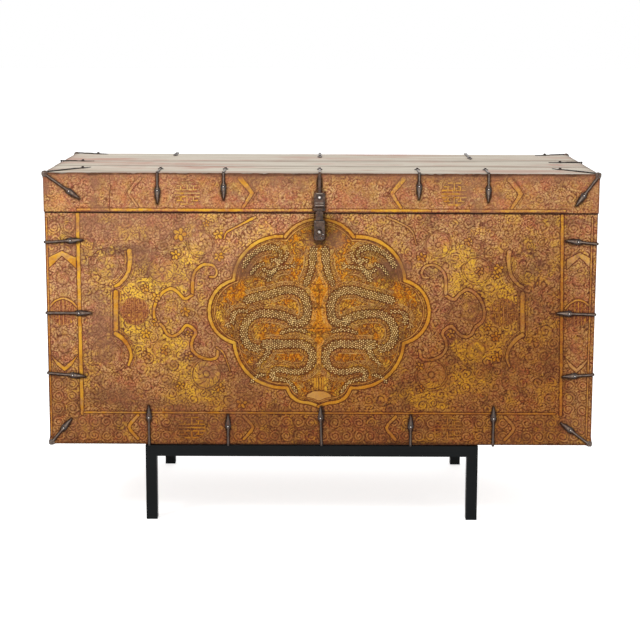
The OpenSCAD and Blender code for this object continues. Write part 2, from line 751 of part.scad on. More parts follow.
// One top plank between two joints, each given by its depth at the left and at the right end
module lid_plank(front, back) {
    color(grey_wood)
        translate([0, 0, plank_z])
            linear_extrude(height = plank_t)
                polygon([
                    [-x_lid, -y_lid + front[0]], [x_lid, -y_lid + front[1]],
                    [x_lid, -y_lid + back[1]], [-x_lid, -y_lid + back[0]]
                ]);
}
module lid_plank_front() {
    lid_plank([gesso_t, gesso_t], [joint_front, joint_front] - [plank_gap, plank_gap] / 2);
}
module lid_plank_middle() {
    lid_plank(
        [joint_front, joint_front] + [plank_gap, plank_gap] / 2,
        [joint_back_left, joint_back_right] - [plank_gap, plank_gap] / 2
    );
}
module lid_plank_back() {
    lid_plank(
        [joint_back_left, joint_back_right] + [plank_gap, plank_gap] / 2,
        [2 * y_lid, 2 * y_lid]
    );
}
module lid_battens() {
    length = 2 * y_lid - gesso_t - 2 * board_t;
    color(wood_colour)
        for (sign = [-1, 1])
            translate([
                sign * (x_lid - batten_inset) - batten_w / 2,
                y_front_rail + board_t, plank_z - batten_t
            ])
                cube([batten_w, length, batten_t]);
}
module lid_gesso() {
    color(paint_colour)
        translate([-x_lid, -y_lid, lid_z]) cube([2 * x_lid, gesso_t, lid_h]);
}
module lid_relief() {
    middle = lid_h * 0.49;
    color(gilt_colour)
        difference() {
            on_front(0, lid_z, y = -y_lid)
                linear_extrude(height = relief_t) {
                    translate([-(x_lid - line_inset), line_w / 2])
                        square([2 * (x_lid - line_inset), line_w]);
                    for (sign = [-1, 1])
                        translate([sign * fret_spread, middle]) fret_2d(fret_r);
                    brackets_2d(lid_bracket, lid_h);
                    scrolls_2d(lid_h * 0.3, x_lid);
                    scrolls_2d(lid_h * 0.61, x_lid);
                }
            for (i = [0 : len(lid_cleat_x) - 1])
                on_front(lid_cleat_x[i], top_z, y = -y_lid, turn = -90)
                    arm_room(lid_drop + lid_cleat_drop[i]);
            for (sign = [-1, 1])
                on_front(sign * x_lid, top_z, y = -y_lid, turn = sign < 0 ? 0 : 180)
                    mirror([0, sign < 0 ? 1 : 0, 0]) corner_room(sign < 0 ? lid_arm_left : lid_arm_right);
            on_front(-middle_shift, lid_z, y = -y_lid)
                translate([-hasp_w / 2 - 3, -1, -1])
                    cube([hasp_w + 6, lid_h + 2, iron_t + 2]);
        }
}

/* Ironwork of the lid. */
module lid_corner(sign_x, sign_y) {
    front = sign_x < 0 ? lid_arm_left : lid_arm_right;
    color(iron_colour)
        at_corner(sign_x * x_lid, sign_y * y_lid, top_z, -sign_x, -sign_y, -1)
            corner_mount(front, sign_y < 0 ? lid_arm_top : lid_arm_top_back, lid_arm_side);
}
module lid_corner_front_left() {
    lid_corner(-1, -1);
}
module lid_corner_front_right() {
    lid_corner(1, -1);
}
module lid_corner_back_left() {
    lid_corner(-1, 1);
}
module lid_corner_back_right() {
    lid_corner(1, 1);
}
// Two arms folded over the lid's front edge
module lid_front_cleats() {
    color(iron_colour)
        for (i = [0 : len(lid_cleat_x) - 1]) {
            on_front(lid_cleat_x[i], top_z, y = -y_lid, turn = -90)
                arm(lid_drop + lid_cleat_drop[i], back = iron_t);
            on_top(lid_cleat_x[i], -y_lid, turn = 90) arm(lid_reach, back = iron_t);
        }
}
module lid_end_cleats() {
    y = -y_lid + end_cleat_depth;
    color(iron_colour) {
        on_left(y, top_z, x = -x_lid, turn = -90) arm(lid_drop, back = iron_t);
        on_top(-x_lid, y) arm(end_reach, back = iron_t);
        on_right(y, top_z, x = x_lid, turn = -90) arm(lid_drop, back = iron_t);
        on_top(x_lid, y, turn = 180) arm(end_reach, back = iron_t);
    }
}
module lid_nails() {
    y = -y_lid + end_cleat_depth;
    color(iron_colour) {
        for (sx = [-1, 1])
            for (sy = [-1, 1])
                at_corner(sx * x_lid, sy * y_lid, top_z, -sx, -sy, -1)
                    corner_nails(
                        sx < 0 ? lid_arm_left : lid_arm_right,
                        sy < 0 ? lid_arm_top : lid_arm_top_back, lid_arm_side
                    );
        for (i = [0 : len(lid_cleat_x) - 1]) {
            on_front(lid_cleat_x[i], top_z, y = -y_lid, turn = -90)
                arm_nail(lid_drop + lid_cleat_drop[i]);
            on_top(lid_cleat_x[i], -y_lid, turn = 90) arm_nail(lid_reach);
        }
        on_left(y, top_z, x = -x_lid, turn = -90) arm_nail(lid_drop);
        on_top(-x_lid, y) arm_nail(end_reach);
        on_right(y, top_z, x = x_lid, turn = -90) arm_nail(lid_drop);
        on_top(x_lid, y, turn = 180) arm_nail(end_reach);
        on_top(hinge_x[0], y_lid, turn = -90) arm_nail(strap_left);
        on_top(hinge_x[1], y_lid, turn = -90) arm_nail(strap_middle);
        on_top(hinge_x[2], y_lid, turn = -90) arm_nail(strap_right);
        on_top(-middle_shift, -y_lid, turn = 90) arm_nail(lid_reach);
        on_front(-middle_shift, hasp_z + hasp_plate_h * 0.72, y = -y_lid - hasp_t)
            nail_head(stud_nail_r, stud_nail_r * 0.7);
    }
}

/* Strap hinges. Three knuckles share each pin: the outer two on the body, the middle one on the lid. */
flare_from = knuckle_r + 1;
flare_l = 22;
strap_w = 7;
lid_back_h = top_z - hinge_z;
module knuckle(x, length) {
    translate([x, hinge_y, hinge_z]) rotate([0, 90, 0]) cylinder(r = knuckle_r, h = length, $fn = 48);
}
module pin_bore() {
    translate([-hinge_w, hinge_y, hinge_z]) rotate([0, 90, 0])
        cylinder(r = hinge_bore_r, h = 2 * hinge_w, $fn = 48);
}
// The plate of a strap that widens towards its knuckles, drawn along +X from the pin
module strap_flare(length) {
    linear_extrude(height = iron_t)
        polygon([
            [flare_from, hinge_w / 2], [flare_from + 5, hinge_w / 2],
            [flare_from + flare_l, strap_w / 2], [length, strap_w / 2],
            [length, -strap_w / 2], [flare_from + flare_l, -strap_w / 2],
            [flare_from + 5, -hinge_w / 2], [flare_from, -hinge_w / 2]
        ]);
}
module lid_strap(x, reach) {
    middle_x = -knuckle_l / 2;
    color(iron_colour)
        translate([x, 0, 0]) {
            on_back(0, hinge_z, y = y_lid, turn = 90) strap_flare(lid_back_h + iron_t);
            on_top(0, y_lid, turn = -90) arm(reach, width = strap_w, back = iron_t);
            difference() {
                union() {
                    knuckle(middle_x, knuckle_l);
                    translate([middle_x, y_lid, hinge_z + 1]) cube([knuckle_l, iron_t, flare_from]);
                    translate([middle_x, y_lid + fit_gap + 1, hinge_z + 1])
                        cube([knuckle_l, knuckle_r - 1, knuckle_r - 1.4]);
                }
                pin_bore();
            }
        }
}
module body_strap(x) {
    reach_y = hinge_y - y_body;
    color(iron_colour)
        translate([x, 0, 0]) {
            on_back(0, hinge_z, turn = -90) {
                strap_flare(flare_from + flare_l);
                translate([flare_from + flare_l - 2, 0, 0])
                    arm(strap_down - flare_from - flare_l, width = strap_w);
            }
            difference() {
                for (side = [-1, 1]) {
                    x0 = side > 0 ? hinge_w / 2 - knuckle_l : -hinge_w / 2;
                    knuckle(x0, knuckle_l);
                    translate([x0, y_body, hinge_z - flare_from - 1]) cube([knuckle_l, iron_t, flare_from + 0.5]);
                    translate([x0, y_body, hinge_z - knuckle_r - 1])
                        cube([knuckle_l, reach_y, knuckle_r - hinge_bore_r]);
                }
                pin_bore();
            }
        }
}
module hinge_pin(x) {
    head_r = knuckle_r - 1;
    head_h = 2.4;
    color(iron_colour)
        translate([x, hinge_y, hinge_z]) {
            translate([-hinge_w / 2 - 0.1, 0, 0]) rotate([0, 90, 0])
                cylinder(r = hinge_pin_r, h = hinge_w + 0.2, $fn = 48);
            for (side = [-1, 1])
                translate([side * (hinge_w / 2 + 0.1), 0, 0]) rotate([0, 90 * side, 0])
                    nail_head(head_r, head_h);
        }
}
module lid_strap_left() {
    lid_strap(hinge_x[0], strap_left);
}
module lid_strap_middle() {
    lid_strap(hinge_x[1], strap_middle);
}
module lid_strap_right() {
    lid_strap(hinge_x[2], strap_right);
}
module body_strap_left() {
    body_strap(hinge_x[0]);
}
module body_strap_middle() {
    body_strap(hinge_x[1]);
}
module body_strap_right() {
    body_strap(hinge_x[2]);
}
module hinge_pin_left() {
    hinge_pin(hinge_x[0]);
}
module hinge_pin_middle() {
    hinge_pin(hinge_x[1]);
}
module hinge_pin_right() {
    hinge_pin(hinge_x[2]);
}

/* Hasp: a plate on the lid, a hinged hasp over the seam and a pierced stud on the body. */
module hasp_knuckle(x, length) {
    translate([x, hasp_y, hasp_z]) rotate([0, 90, 0])
        cylinder(r = hasp_knuckle_r, h = length, $fn = 48);
}
module hasp_bore() {
    translate([-hasp_w, hasp_y, hasp_z]) rotate([0, 90, 0])
        cylinder(r = hasp_bore_r, h = 2 * hasp_w, $fn = 48);
}
module hasp_plate() {
    plate_from = hasp_knuckle_r + 1;
    snip = 3;
    color(iron_colour) translate([-middle_shift, 0, 0]) {
        on_front(0, hasp_z, y = -y_lid, turn = 90)
            linear_extrude(height = hasp_t)
                polygon([
                    [plate_from, hasp_w / 2], [hasp_plate_h - snip, hasp_w / 2],
                    [hasp_plate_h, hasp_w / 2 - snip], [hasp_plate_h, -hasp_w / 2 + snip],
                    [hasp_plate_h - snip, -hasp_w / 2], [plate_from, -hasp_w / 2]
                ]);
        translate([-hasp_w / 2, -y_lid - hasp_t, hasp_z + plate_from + bead_r]) rotate([0, 90, 0])
            cylinder(r = bead_r, h = hasp_w, $fn = 24);
        // Narrow strap from the plate up and over the lid's front edge
        on_front(0, hasp_z, y = -y_lid, turn = 90)
            translate([hasp_plate_h - 1, -shaft_w / 2, 0])
                cube([top_z - hasp_z - hasp_plate_h + 1 + iron_t * 0.8, shaft_w, hasp_t]);
        on_top(0, -y_lid, turn = 90) arm(lid_reach, back = iron_t * 0.8);
        difference() {
            for (side = [-1, 1]) {
                x0 = side > 0 ? hasp_w / 2 - hasp_side_l : -hasp_w / 2;
                hasp_knuckle(x0, hasp_side_l);
                translate([x0, -y_lid - hasp_t, hasp_z + 1]) cube([hasp_side_l, hasp_t, plate_from]);
            }
            hasp_bore();
        }
    }
}
// Right half of the hasp's outline, from its knuckle down, below the pin
waist_from = hasp_knuckle_r + 2;
shoulder_to = waist_to + 4;
hasp_half = [
    [hasp_knuckle_l / 2, -1], [hasp_knuckle_l / 2, -waist_from + 1], [waist_w / 2, -waist_from],
    [waist_w / 2 - 1, -(waist_from + waist_to) / 2], [waist_w / 2, -waist_to],
    [hasp_w / 2, -shoulder_to], [hasp_w / 2 - 1, -(shoulder_to + hasp_l) / 2 + 2],
    [hasp_w / 2, -hasp_l + 5], [hasp_w / 2 - 4, -hasp_l]
];
// The hasp hangs on its pin, lifted clear of the stud
module hasp() {
    last = len(hasp_half) - 1;
    color(iron_colour)
        translate([-middle_shift, hasp_y, hasp_z]) rotate([-hasp_lift, 0, 0])
            difference() {
                union() {
                    rotate([0, 90, 0]) translate([0, 0, -hasp_knuckle_l / 2])
                        cylinder(r = hasp_knuckle_r, h = hasp_knuckle_l, $fn = 48);
                    translate([0, hasp_t / 2, 0]) rotate([90, 0, 0])
                        linear_extrude(height = hasp_t)
                            polygon(concat(
                                hasp_half,
                                [for (i = [last : -1 : 0]) [-hasp_half[i][0], hasp_half[i][1]]]
                            ));
                    translate([-hasp_w / 2, -hasp_t / 2, -shoulder_to - bead_r]) rotate([0, 90, 0])
                        cylinder(r = bead_r, h = hasp_w, $fn = 24);
                }
                rotate([0, 90, 0]) translate([0, 0, -hasp_w])
                    cylinder(r = hasp_bore_r, h = 2 * hasp_w, $fn = 48);
                translate([0, 2 * hasp_t, -stud_drop]) rotate([90, 0, 0])
                    cylinder(r = hasp_hole_r, h = 4 * hasp_t, $fn = 48);
            }
}
module hasp_pin() {
    head_r = hasp_knuckle_r - 1;
    color(iron_colour)
        translate([-middle_shift, hasp_y, hasp_z]) {
            translate([-hasp_w / 2 - 0.1, 0, 0]) rotate([0, 90, 0])
                cylinder(r = hasp_pin_r, h = hasp_w + 0.2, $fn = 48);
            for (side = [-1, 1])
                translate([side * (hasp_w / 2 + 0.1), 0, 0]) rotate([0, 90 * side, 0])
                    nail_head(head_r, 1.8);
        }
}
plate_up = 24;
plate_down = 20;
module stud_plate() {
    snip = 4;
    color(iron_colour)
        difference() {
            on_front(-middle_shift, stud_z)
                linear_extrude(height = stud_plate_t)
                    polygon([
                        [-hasp_w / 2, plate_up], [hasp_w / 2, plate_up],
                        [hasp_w / 2, -plate_down + snip], [hasp_w / 2 - snip, -plate_down],
                        [-hasp_w / 2 + snip, -plate_down], [-hasp_w / 2, -plate_down + snip]
                    ]);
            on_front(-middle_shift, stud_z, y = -y_body + 1)
                cylinder(r = stud_neck_r, h = stud_plate_t + 2, $fn = 32);
        }
}
// Ball-headed stud with an eye across it for the lock's bolt
module lock_stud() {
    flat_at = stud_r - 0.9;
    color(iron_colour)
        on_front(-middle_shift, stud_z)
            difference() {
                union() {
                    cylinder(r = stud_neck_r, h = stud_plate_t + stud_centre, $fn = 32);
                    intersection() {
                        translate([0, 0, stud_plate_t + stud_centre]) sphere(r = stud_r, $fn = 32);
                        translate([-flat_at, -stud_r, 0])
                            cube([2 * flat_at, 2 * stud_r, stud_plate_t + stud_centre + stud_r]);
                    }
                }
                translate([-2 * stud_r, 0, stud_plate_t + stud_centre]) rotate([0, 90, 0])
                    cylinder(r = stud_eye_r, h = 4 * stud_r, $fn = 32);
            }
}

/* Ironwork of the body. */
module base_corner(sign_x, sign_y) {
    front = sign_x < 0 ? base_arm_left : base_arm_right;
    color(iron_colour)
        at_corner(sign_x * x_body, sign_y * y_body, base_z, -sign_x, -sign_y, 1)
            corner_mount(front, base_arm_under, base_arm_side);
}
module base_corner_front_left() {
    base_corner(-1, -1);
}
module base_corner_front_right() {
    base_corner(1, -1);
}
module base_corner_back_left() {
    base_corner(-1, 1);
}
module base_corner_back_right() {
    base_corner(1, 1);
}
// Arms folded round one upright edge of the body, on the front or back and on the end
module edge_cleats(sign_x, sign_y) {
    length = sign_x < 0 ? edge_left : edge_right;
    slope = sign_x < 0 ? edge_cleat_slope_left : edge_cleat_slope_right;
    color(iron_colour)
        for (i = [0 : len(edge_cleat_rise) - 1]) {
            edge_cleat_pair(sign_x, sign_y, edge_cleat_rise[i], slope[i]) {
                arm(length + edge_cleat_longer[i], back = iron_t / 2);
                arm(length, back = iron_t / 2);
            }
            at_corner(sign_x * x_body, sign_y * y_body, base_z + edge_cleat_rise[i], -sign_x, -sign_y, 1)
                fold(iron_t + 0.2, 1.5);
        }
}
// The thicker fold of a cleat where it turns round an upright edge
module fold(thick, reach) {
    wide = shaft_w * 1.3;
    translate([0, 0, -wide / 2])
        linear_extrude(height = wide)
            polygon([
                [-thick, -thick], [reach, -thick], [reach, 0],
                [0, 0], [0, reach], [-thick, reach]
            ]);
}
module edge_cleat_pair(sign_x, sign_y, rise, slope) {
    at_corner(sign_x * x_body, sign_y * y_body, base_z + rise, -sign_x, -sign_y, 1) {
        rotate([90, 0, 0]) rotate([0, 0, slope]) children(0);
        rotate([90, 0, -90]) mirror([1, 0, 0]) children(1);
    }
}
module edge_cleats_front_left() {
    edge_cleats(-1, -1);
}
module edge_cleats_front_right() {
    edge_cleats(1, -1);
}
module edge_cleats_back_left() {
    edge_cleats(-1, 1);
}
module edge_cleats_back_right() {
    edge_cleats(1, 1);
}
function base_cleat_l(i) = i % 2 == 0 ? base_long : base_short;
module base_front_cleats() {
    color(iron_colour)
        for (i = [0 : len(base_cleat_x) - 1]) {
            on_front(base_cleat_x[i], base_z, turn = 90 - base_cleat_lean[i])
                arm(base_cleat_l(i), back = iron_t);
            under(base_cleat_x[i], -y_body, turn = -90) arm(base_under, back = iron_t);
        }
}
module base_back_cleats() {
    color(iron_colour)
        for (i = [0 : len(base_cleat_x) - 1]) {
            on_back(base_cleat_x[i], base_z, turn = 90) arm(base_cleat_l(i), back = iron_t);
            under(base_cleat_x[i], y_body, turn = 90) arm(base_under, back = iron_t);
        }
}
module body_nails() {
    color(iron_colour) {
        for (sx = [-1, 1])
            for (sy = [-1, 1]) {
                slope = sx < 0 ? edge_cleat_slope_left : edge_cleat_slope_right;
                length = sx < 0 ? edge_left : edge_right;
                at_corner(sx * x_body, sy * y_body, base_z, -sx, -sy, 1)
                    corner_nails(sx < 0 ? base_arm_left : base_arm_right, [0, 0], base_arm_side);
                for (i = [0 : len(edge_cleat_rise) - 1])
                    edge_cleat_pair(sx, sy, edge_cleat_rise[i], slope[i]) {
                        arm_nail(length + edge_cleat_longer[i]);
                        arm_nail(length);
                    }
            }
        for (i = [0 : len(base_cleat_x) - 1]) {
            on_front(base_cleat_x[i], base_z, turn = 90 - base_cleat_lean[i]) arm_nail(base_cleat_l(i));
            on_back(base_cleat_x[i], base_z, turn = 90) arm_nail(base_cleat_l(i));
        }
        for (x = hinge_x)
            on_back(x, hinge_z, turn = -90) arm_nail(strap_down - 2);
        on_front(5 - middle_shift, stud_z - plate_down + 5, y = stud_face_y) nail_head(2, 1.2);
    }
}

/* Stand of square tube: two mitred frames, front and back, joined by two side rails. */
// Outline of a leg or a long rail in XZ, or of the hollow inside its wall, which runs on past the mitre
module leg_2d(wall, foot) {
    beyond = wall > 0 ? 1 : 0;
    polygon([
        [wall, foot], [tube - wall, foot],
        [tube - wall, stand_h - tube + wall + beyond], [wall, stand_h - wall + beyond]
    ]);
}
module rail_2d(wall) {
    beyond = wall > 0 ? 1 : 0;
    polygon([
        [wall - beyond, stand_h - wall], [stand_l - wall + beyond, stand_h - wall],
        [stand_l - tube + wall + beyond, stand_h - tube + wall],
        [tube - wall - beyond, stand_h - tube + wall]
    ]);
}
module stand_leg(x, y, side) {
    color(steel_colour)
        translate([x, y + tube, 0]) mirror([side > 0 ? 1 : 0, 0, 0]) rotate([90, 0, 0])
            difference() {
                linear_extrude(height = tube) leg_2d(0, 0);
                translate([0, 0, tube_wall])
                    linear_extrude(height = tube - 2 * tube_wall) leg_2d(tube_wall, foot_t);
            }
}
module stand_long_rail(y) {
    color(steel_colour)
        translate([stand_left, y + tube, 0]) rotate([90, 0, 0])
            difference() {
                linear_extrude(height = tube) rail_2d(0);
                translate([0, 0, tube_wall])
                    linear_extrude(height = tube - 2 * tube_wall) rail_2d(tube_wall);
            }
}
module stand_side_rail(x) {
    length = 2 * stand_y - 2 * tube;
    color(steel_colour)
        translate([x, -stand_y + tube, rail_z])
            difference() {
                cube([tube, length, tube]);
                translate([tube_wall, -1, tube_wall])
                    cube([tube - 2 * tube_wall, length + 2, tube - 2 * tube_wall]);
            }
}
module stand_leg_front_left() {
    stand_leg(stand_left, -stand_y, -1);
}
module stand_leg_front_right() {
    stand_leg(stand_right, -stand_y, 1);
}
module stand_leg_back_left() {
    stand_leg(stand_left, stand_y - tube, -1);
}
module stand_leg_back_right() {
    stand_leg(stand_right, stand_y - tube, 1);
}
module stand_front_rail() {
    stand_long_rail(-stand_y);
}
module stand_back_rail() {
    stand_long_rail(stand_y - tube);
}
module stand_left_rail() {
    stand_side_rail(stand_left);
}
module stand_right_rail() {
    stand_side_rail(stand_right - tube);
}

front_board();
back_board();
left_end_board();
right_end_board();
bottom_plank_front();
bottom_plank_middle();
bottom_plank_back();
front_gesso();
front_relief();
lid_plank_front();
lid_plank_middle();
lid_plank_back();
lid_front_rail();
lid_back_rail();
lid_left_end();
lid_right_end();
lid_battens();
lid_gesso();
lid_relief();
lid_corner_front_left();
lid_corner_front_right();
lid_corner_back_left();
lid_corner_back_right();
lid_front_cleats();
lid_end_cleats();
lid_nails();
lid_strap_left();
lid_strap_middle();
lid_strap_right();
body_strap_left();
body_strap_middle();
body_strap_right();
hinge_pin_left();
hinge_pin_middle();
hinge_pin_right();
hasp_plate();
hasp();
hasp_pin();
stud_plate();
lock_stud();
base_corner_front_left();
base_corner_front_right();
base_corner_back_left();
base_corner_back_right();
edge_cleats_front_left();
edge_cleats_front_right();
edge_cleats_back_left();
edge_cleats_back_right();
base_front_cleats();
base_back_cleats();
body_nails();
stand_leg_front_left();
stand_leg_front_right();
stand_leg_back_left();
stand_leg_back_right();
stand_front_rail();
stand_back_rail();
stand_left_rail();
stand_right_rail();
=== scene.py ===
"""Looks of a painted and gilded chest with forged iron cleats, on a black steel stand.

Everything is in metres inside Blender; the ornament is drawn in millimetres, with X across the
chest and Z up from the underside of its body.
"""

import math

import bpy
import numpy as np
from bpy.props import FloatProperty, FloatVectorProperty, IntProperty, PointerProperty
from mathutils import Matrix, Vector


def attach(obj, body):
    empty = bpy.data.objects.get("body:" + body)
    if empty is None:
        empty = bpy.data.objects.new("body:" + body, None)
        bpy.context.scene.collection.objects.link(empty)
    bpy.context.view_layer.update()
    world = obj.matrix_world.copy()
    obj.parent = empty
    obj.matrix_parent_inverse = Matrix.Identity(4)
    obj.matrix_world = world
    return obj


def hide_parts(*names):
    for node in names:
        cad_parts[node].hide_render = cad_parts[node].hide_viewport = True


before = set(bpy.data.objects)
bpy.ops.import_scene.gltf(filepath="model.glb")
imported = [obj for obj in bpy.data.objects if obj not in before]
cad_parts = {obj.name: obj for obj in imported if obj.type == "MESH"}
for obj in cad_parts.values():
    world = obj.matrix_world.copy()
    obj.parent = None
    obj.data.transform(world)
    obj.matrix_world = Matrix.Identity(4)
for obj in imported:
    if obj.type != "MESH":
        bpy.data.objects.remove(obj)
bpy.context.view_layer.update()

bl_info = {
    "name": "Painted chest on a steel stand",
    "version": (1, 0, 0),
    "blender": (4, 5, 0),
    "location": "View3D > Sidebar > Chest",
    "description": "Raised gesso, weathered boards, forged cleats and a steel stand",
    "category": "Object",
}

MM = 0.001

# Sizes and places of the wood, in millimetres from the floor and from its middle
BODY_LOW = 178.5
BODY_TALL = 534.0
BODY_HALF = 620.0
BODY_FRONT = 260.0
LID_LOW = 712.9
LID_TALL = 88.6
LID_HALF = 621.5
LID_FRONT = 261.5
TOP = 801.5
PLANK_THICK = 20.0

# The medallion, the hasp and the middle hinge sit a little left of the wood's middle
MIDDLE_X = -4.0
HASP_PIN = (MIDDLE_X, -265.8, 721.0)
HASP_LIFT = 12.0
HINGE_X = (-364.0, MIDDLE_X, 364.0)

# Rounding of the edges of the CAD model's boards and iron, in metres
WOOD_EDGE = 0.0006
IRON_EDGE = 0.0004


def paint(red, green, blue):
    """A colour as it is seen on a screen, turned into the renderer's linear values."""
    values = []
    for value in (red, green, blue):
        share = value / 255
        values.append(share / 12.92 if share < 0.04045 else ((share + 0.055) / 1.055) ** 2.4)
    return tuple(values)


def ease(low, high, value):
    """0 below low, 1 above high, and smooth between."""
    share = np.clip((value - low) / (high - low), 0, 1)
    return share * share * (3 - 2 * share)


# Settings that a user would change

def colour_setting(name, description, colour):
    """A colour that a user can choose."""
    return FloatVectorProperty(
        name=name, description=description, subtype="COLOR", size=3, min=0, max=1, default=colour
    )


def length_setting(name, description, millimetres):
    """A length that a user can choose."""
    return FloatProperty(
        name=name, description=description, unit="LENGTH", min=0, default=millimetres * MM
    )


class GessoSettings(bpy.types.PropertyGroup):
    cell: length_setting("Cell", "Spacing of the points that carry the relief", 1.25)
    scroll_pitch: length_setting("Scroll pitch", "Spacing of the raised lines in a scroll", 6.8)
    ground_rise: length_setting("Ground rise", "How far the scrollwork stands up", 1.0)
    band_rise: length_setting("Band rise", "How far the gilt bands stand up", 1.6)
    # The recess colour is dark paint, with painted shade in the hollows
    recess: colour_setting("Recess", "Dark paint between the scrolls", paint(112, 62, 40))
    rosy: colour_setting("Rosy crest", "Pinkish paint on the scrolls", paint(202, 134, 98))
    ochre: colour_setting("Ochre crest", "Ochre paint on the scrolls", paint(200, 140, 62))
    gilt: colour_setting("Gilt", "Gilded lines and bands", paint(230, 170, 50))
    orange: colour_setting("Orange", "Orange fills of the medallion", paint(214, 130, 20))
    pale: colour_setting("Pale", "Pale beads and scales", paint(234, 196, 128))


class TimberSettings(bpy.types.PropertyGroup):
    grey: colour_setting("Weathered top", "Bare weathered planks of the lid", paint(199, 189, 172))
    stain: colour_setting("Paint left", "Pink paint left on the planks", paint(186, 140, 124))
    lacquer: colour_setting("Lacquer", "Old red-brown lacquer on the ends", paint(120, 62, 42))
    bare: colour_setting("Bare wood", "Unpainted back and inside", paint(140, 100, 66))


class IronSettings(bpy.types.PropertyGroup):
    dark: colour_setting("Iron", "Blackened wrought iron", paint(56, 41, 32))
    # Colour of rubbed metal and of painted highlight on the crests of the iron
    bright: colour_setting("Worn iron", "Rubbed ridges of the iron", paint(158, 136, 118))
    hammer: length_setting("Hammer marks", "Depth of the hammer marks", 0.12)


class StandSettings(bpy.types.PropertyGroup):
    steel: colour_setting("Steel", "Black paint of the stand", paint(14, 16, 17))
    edge: length_setting("Tube edge", "Rounding of the square tube's edges", 0.7)


class StudioSettings(bpy.types.PropertyGroup):
    lens: FloatProperty(name="Lens", description="Focal length in mm", min=1, default=97.1)
    key: FloatProperty(name="Key", description="Power of the main light", min=0, default=88)
    fill: FloatProperty(name="Fill", description="Power of the second light", min=0, default=30)
    sky: FloatProperty(name="Sky", description="Strength of the even light", min=0, default=0.62)


# Materials

class Finish:
    """Builds one node material, from its texture nodes to the shader's sockets."""

    def __init__(self, name):
        self.material = bpy.data.materials.new(name)
        self.material.use_nodes = True
        self.nodes = self.material.node_tree.nodes
        self.links = self.material.node_tree.links
        self.shader = self.nodes["Principled BSDF"]
        self.place = self.nodes.new("ShaderNodeTexCoord").outputs["Object"]

    def joints(self, heights, half=0.0009):
        """1 in the thin dark joints between boards, at heights in metres, else 0."""
        parts = self.nodes.new("ShaderNodeSeparateXYZ")
        self.links.new(self.place, parts.inputs[0])
        bend = self.scale(self.noise(3, 2), 0, 1, -0.002, 0.002)
        total = 0.0
        for height in heights:
            off = self.sum("ADD", self.sum("SUBTRACT", parts.outputs["Z"], height), bend)
            line = self.scale(self.sum("ABSOLUTE", off), half, 2.6 * half, 1, 0)
            total = self.sum("ADD", total, line)
        return total

    def put(self, socket, value):
        """Links another node's output to a socket, or sets the socket's own value."""
        if isinstance(value, bpy.types.NodeSocket):
            self.links.new(value, socket)
        elif isinstance(value, (tuple, list)) or hasattr(value, "r"):
            socket.default_value = (*tuple(value)[:3], 1)[: len(socket.default_value)]
        else:
            socket.default_value = value

    def read(self, name):
        """A weight that the mesh carries at each point."""
        node = self.nodes.new("ShaderNodeAttribute")
        node.attribute_name = name
        return node.outputs["Fac"]

    def noise(self, scale, detail=3.0, rough=0.55, warp=0.0, stretch=None):
        """Smooth noise from 0 to 1. Stretch says how many times finer it is along each axis."""
        node = self.nodes.new("ShaderNodeTexNoise")
        vector = self.place
        if stretch:
            mapping = self.nodes.new("ShaderNodeMapping")
            self.links.new(self.place, mapping.inputs["Vector"])
            mapping.inputs["Scale"].default_value = stretch
            vector = mapping.outputs["Vector"]
        self.links.new(vector, node.inputs["Vector"])
        values = {"Scale": scale, "Detail": detail, "Roughness": rough, "Distortion": warp}
        for socket, value in values.items():
            node.inputs[socket].default_value = value
        return node.outputs["Fac"]

    def spots(self, scale):
        """A random value for each small cell."""
        node = self.nodes.new("ShaderNodeTexVoronoi")
        self.links.new(self.place, node.inputs["Vector"])
        node.inputs["Scale"].default_value = scale
        parts = self.nodes.new("ShaderNodeSeparateColor")
        self.links.new(node.outputs["Color"], parts.inputs[0])
        return parts.outputs[0]

    def sum(self, kind, first, second=0.0, third=0.0, clamp=False):
        """One step of arithmetic on numbers or sockets."""
        node = self.nodes.new("ShaderNodeMath")
        node.operation = kind
        node.use_clamp = clamp
        for socket, value in zip(node.inputs, (first, second, third)):
            self.put(socket, value)
        return node.outputs[0]

    def scale(self, value, low, high, to_low=0.0, to_high=1.0):
        """A value moved from one range to another, and held inside it."""
        node = self.nodes.new("ShaderNodeMapRange")
        for socket, number in zip(node.inputs, (value, low, high, to_low, to_high)):
            self.put(socket, number)
        return node.outputs[0]

    def mix(self, share, first, second, blend="MIX"):
        """The first colour with a share of the second."""
        node = self.nodes.new("ShaderNodeMix")
        node.data_type = "RGBA"
        node.blend_type = blend
        self.put(node.inputs[0], share)
        self.put(node.inputs[6], first)
        self.put(node.inputs[7], second)
        return node.outputs[2]

    def layers(self, colour, *layers):
        """Colours laid over one another: each where its value goes from low to high, up to a share."""
        for value, low, high, most, over in layers:
            colour = self.mix(self.scale(value, low, high, 0, most), colour, over)
        return colour

    def ramp(self, share, stops):
        """A colour that changes from stop to stop."""
        node = self.nodes.new("ShaderNodeValToRGB")
        self.put(node.inputs[0], share)
        points = node.color_ramp.elements
        while len(points) < len(stops):
            points.new(0.5)
        for point, (at, colour) in zip(points, stops):
            point.position = at
            point.color = (*tuple(colour)[:3], 1)
        return node.outputs[0]

    def finish(self, colour, rough, metal=0.0, gloss=0.5, bump=None, strength=0.3, depth=0.0006):
        """Fills the shader's sockets, with small bumps from a value, and gives the material."""
        self.put(self.shader.inputs["Base Color"], colour)
        self.put(self.shader.inputs["Roughness"], rough)
        self.put(self.shader.inputs["Metallic"], metal)
        self.put(self.shader.inputs["Specular IOR Level"], gloss)
        if bump is not None:
            node = self.nodes.new("ShaderNodeBump")
            node.inputs["Strength"].default_value = strength
            node.inputs["Distance"].default_value = depth
            self.put(node.inputs["Height"], bump)
            self.links.new(node.outputs[0], self.shader.inputs["Normal"])
        return self.material


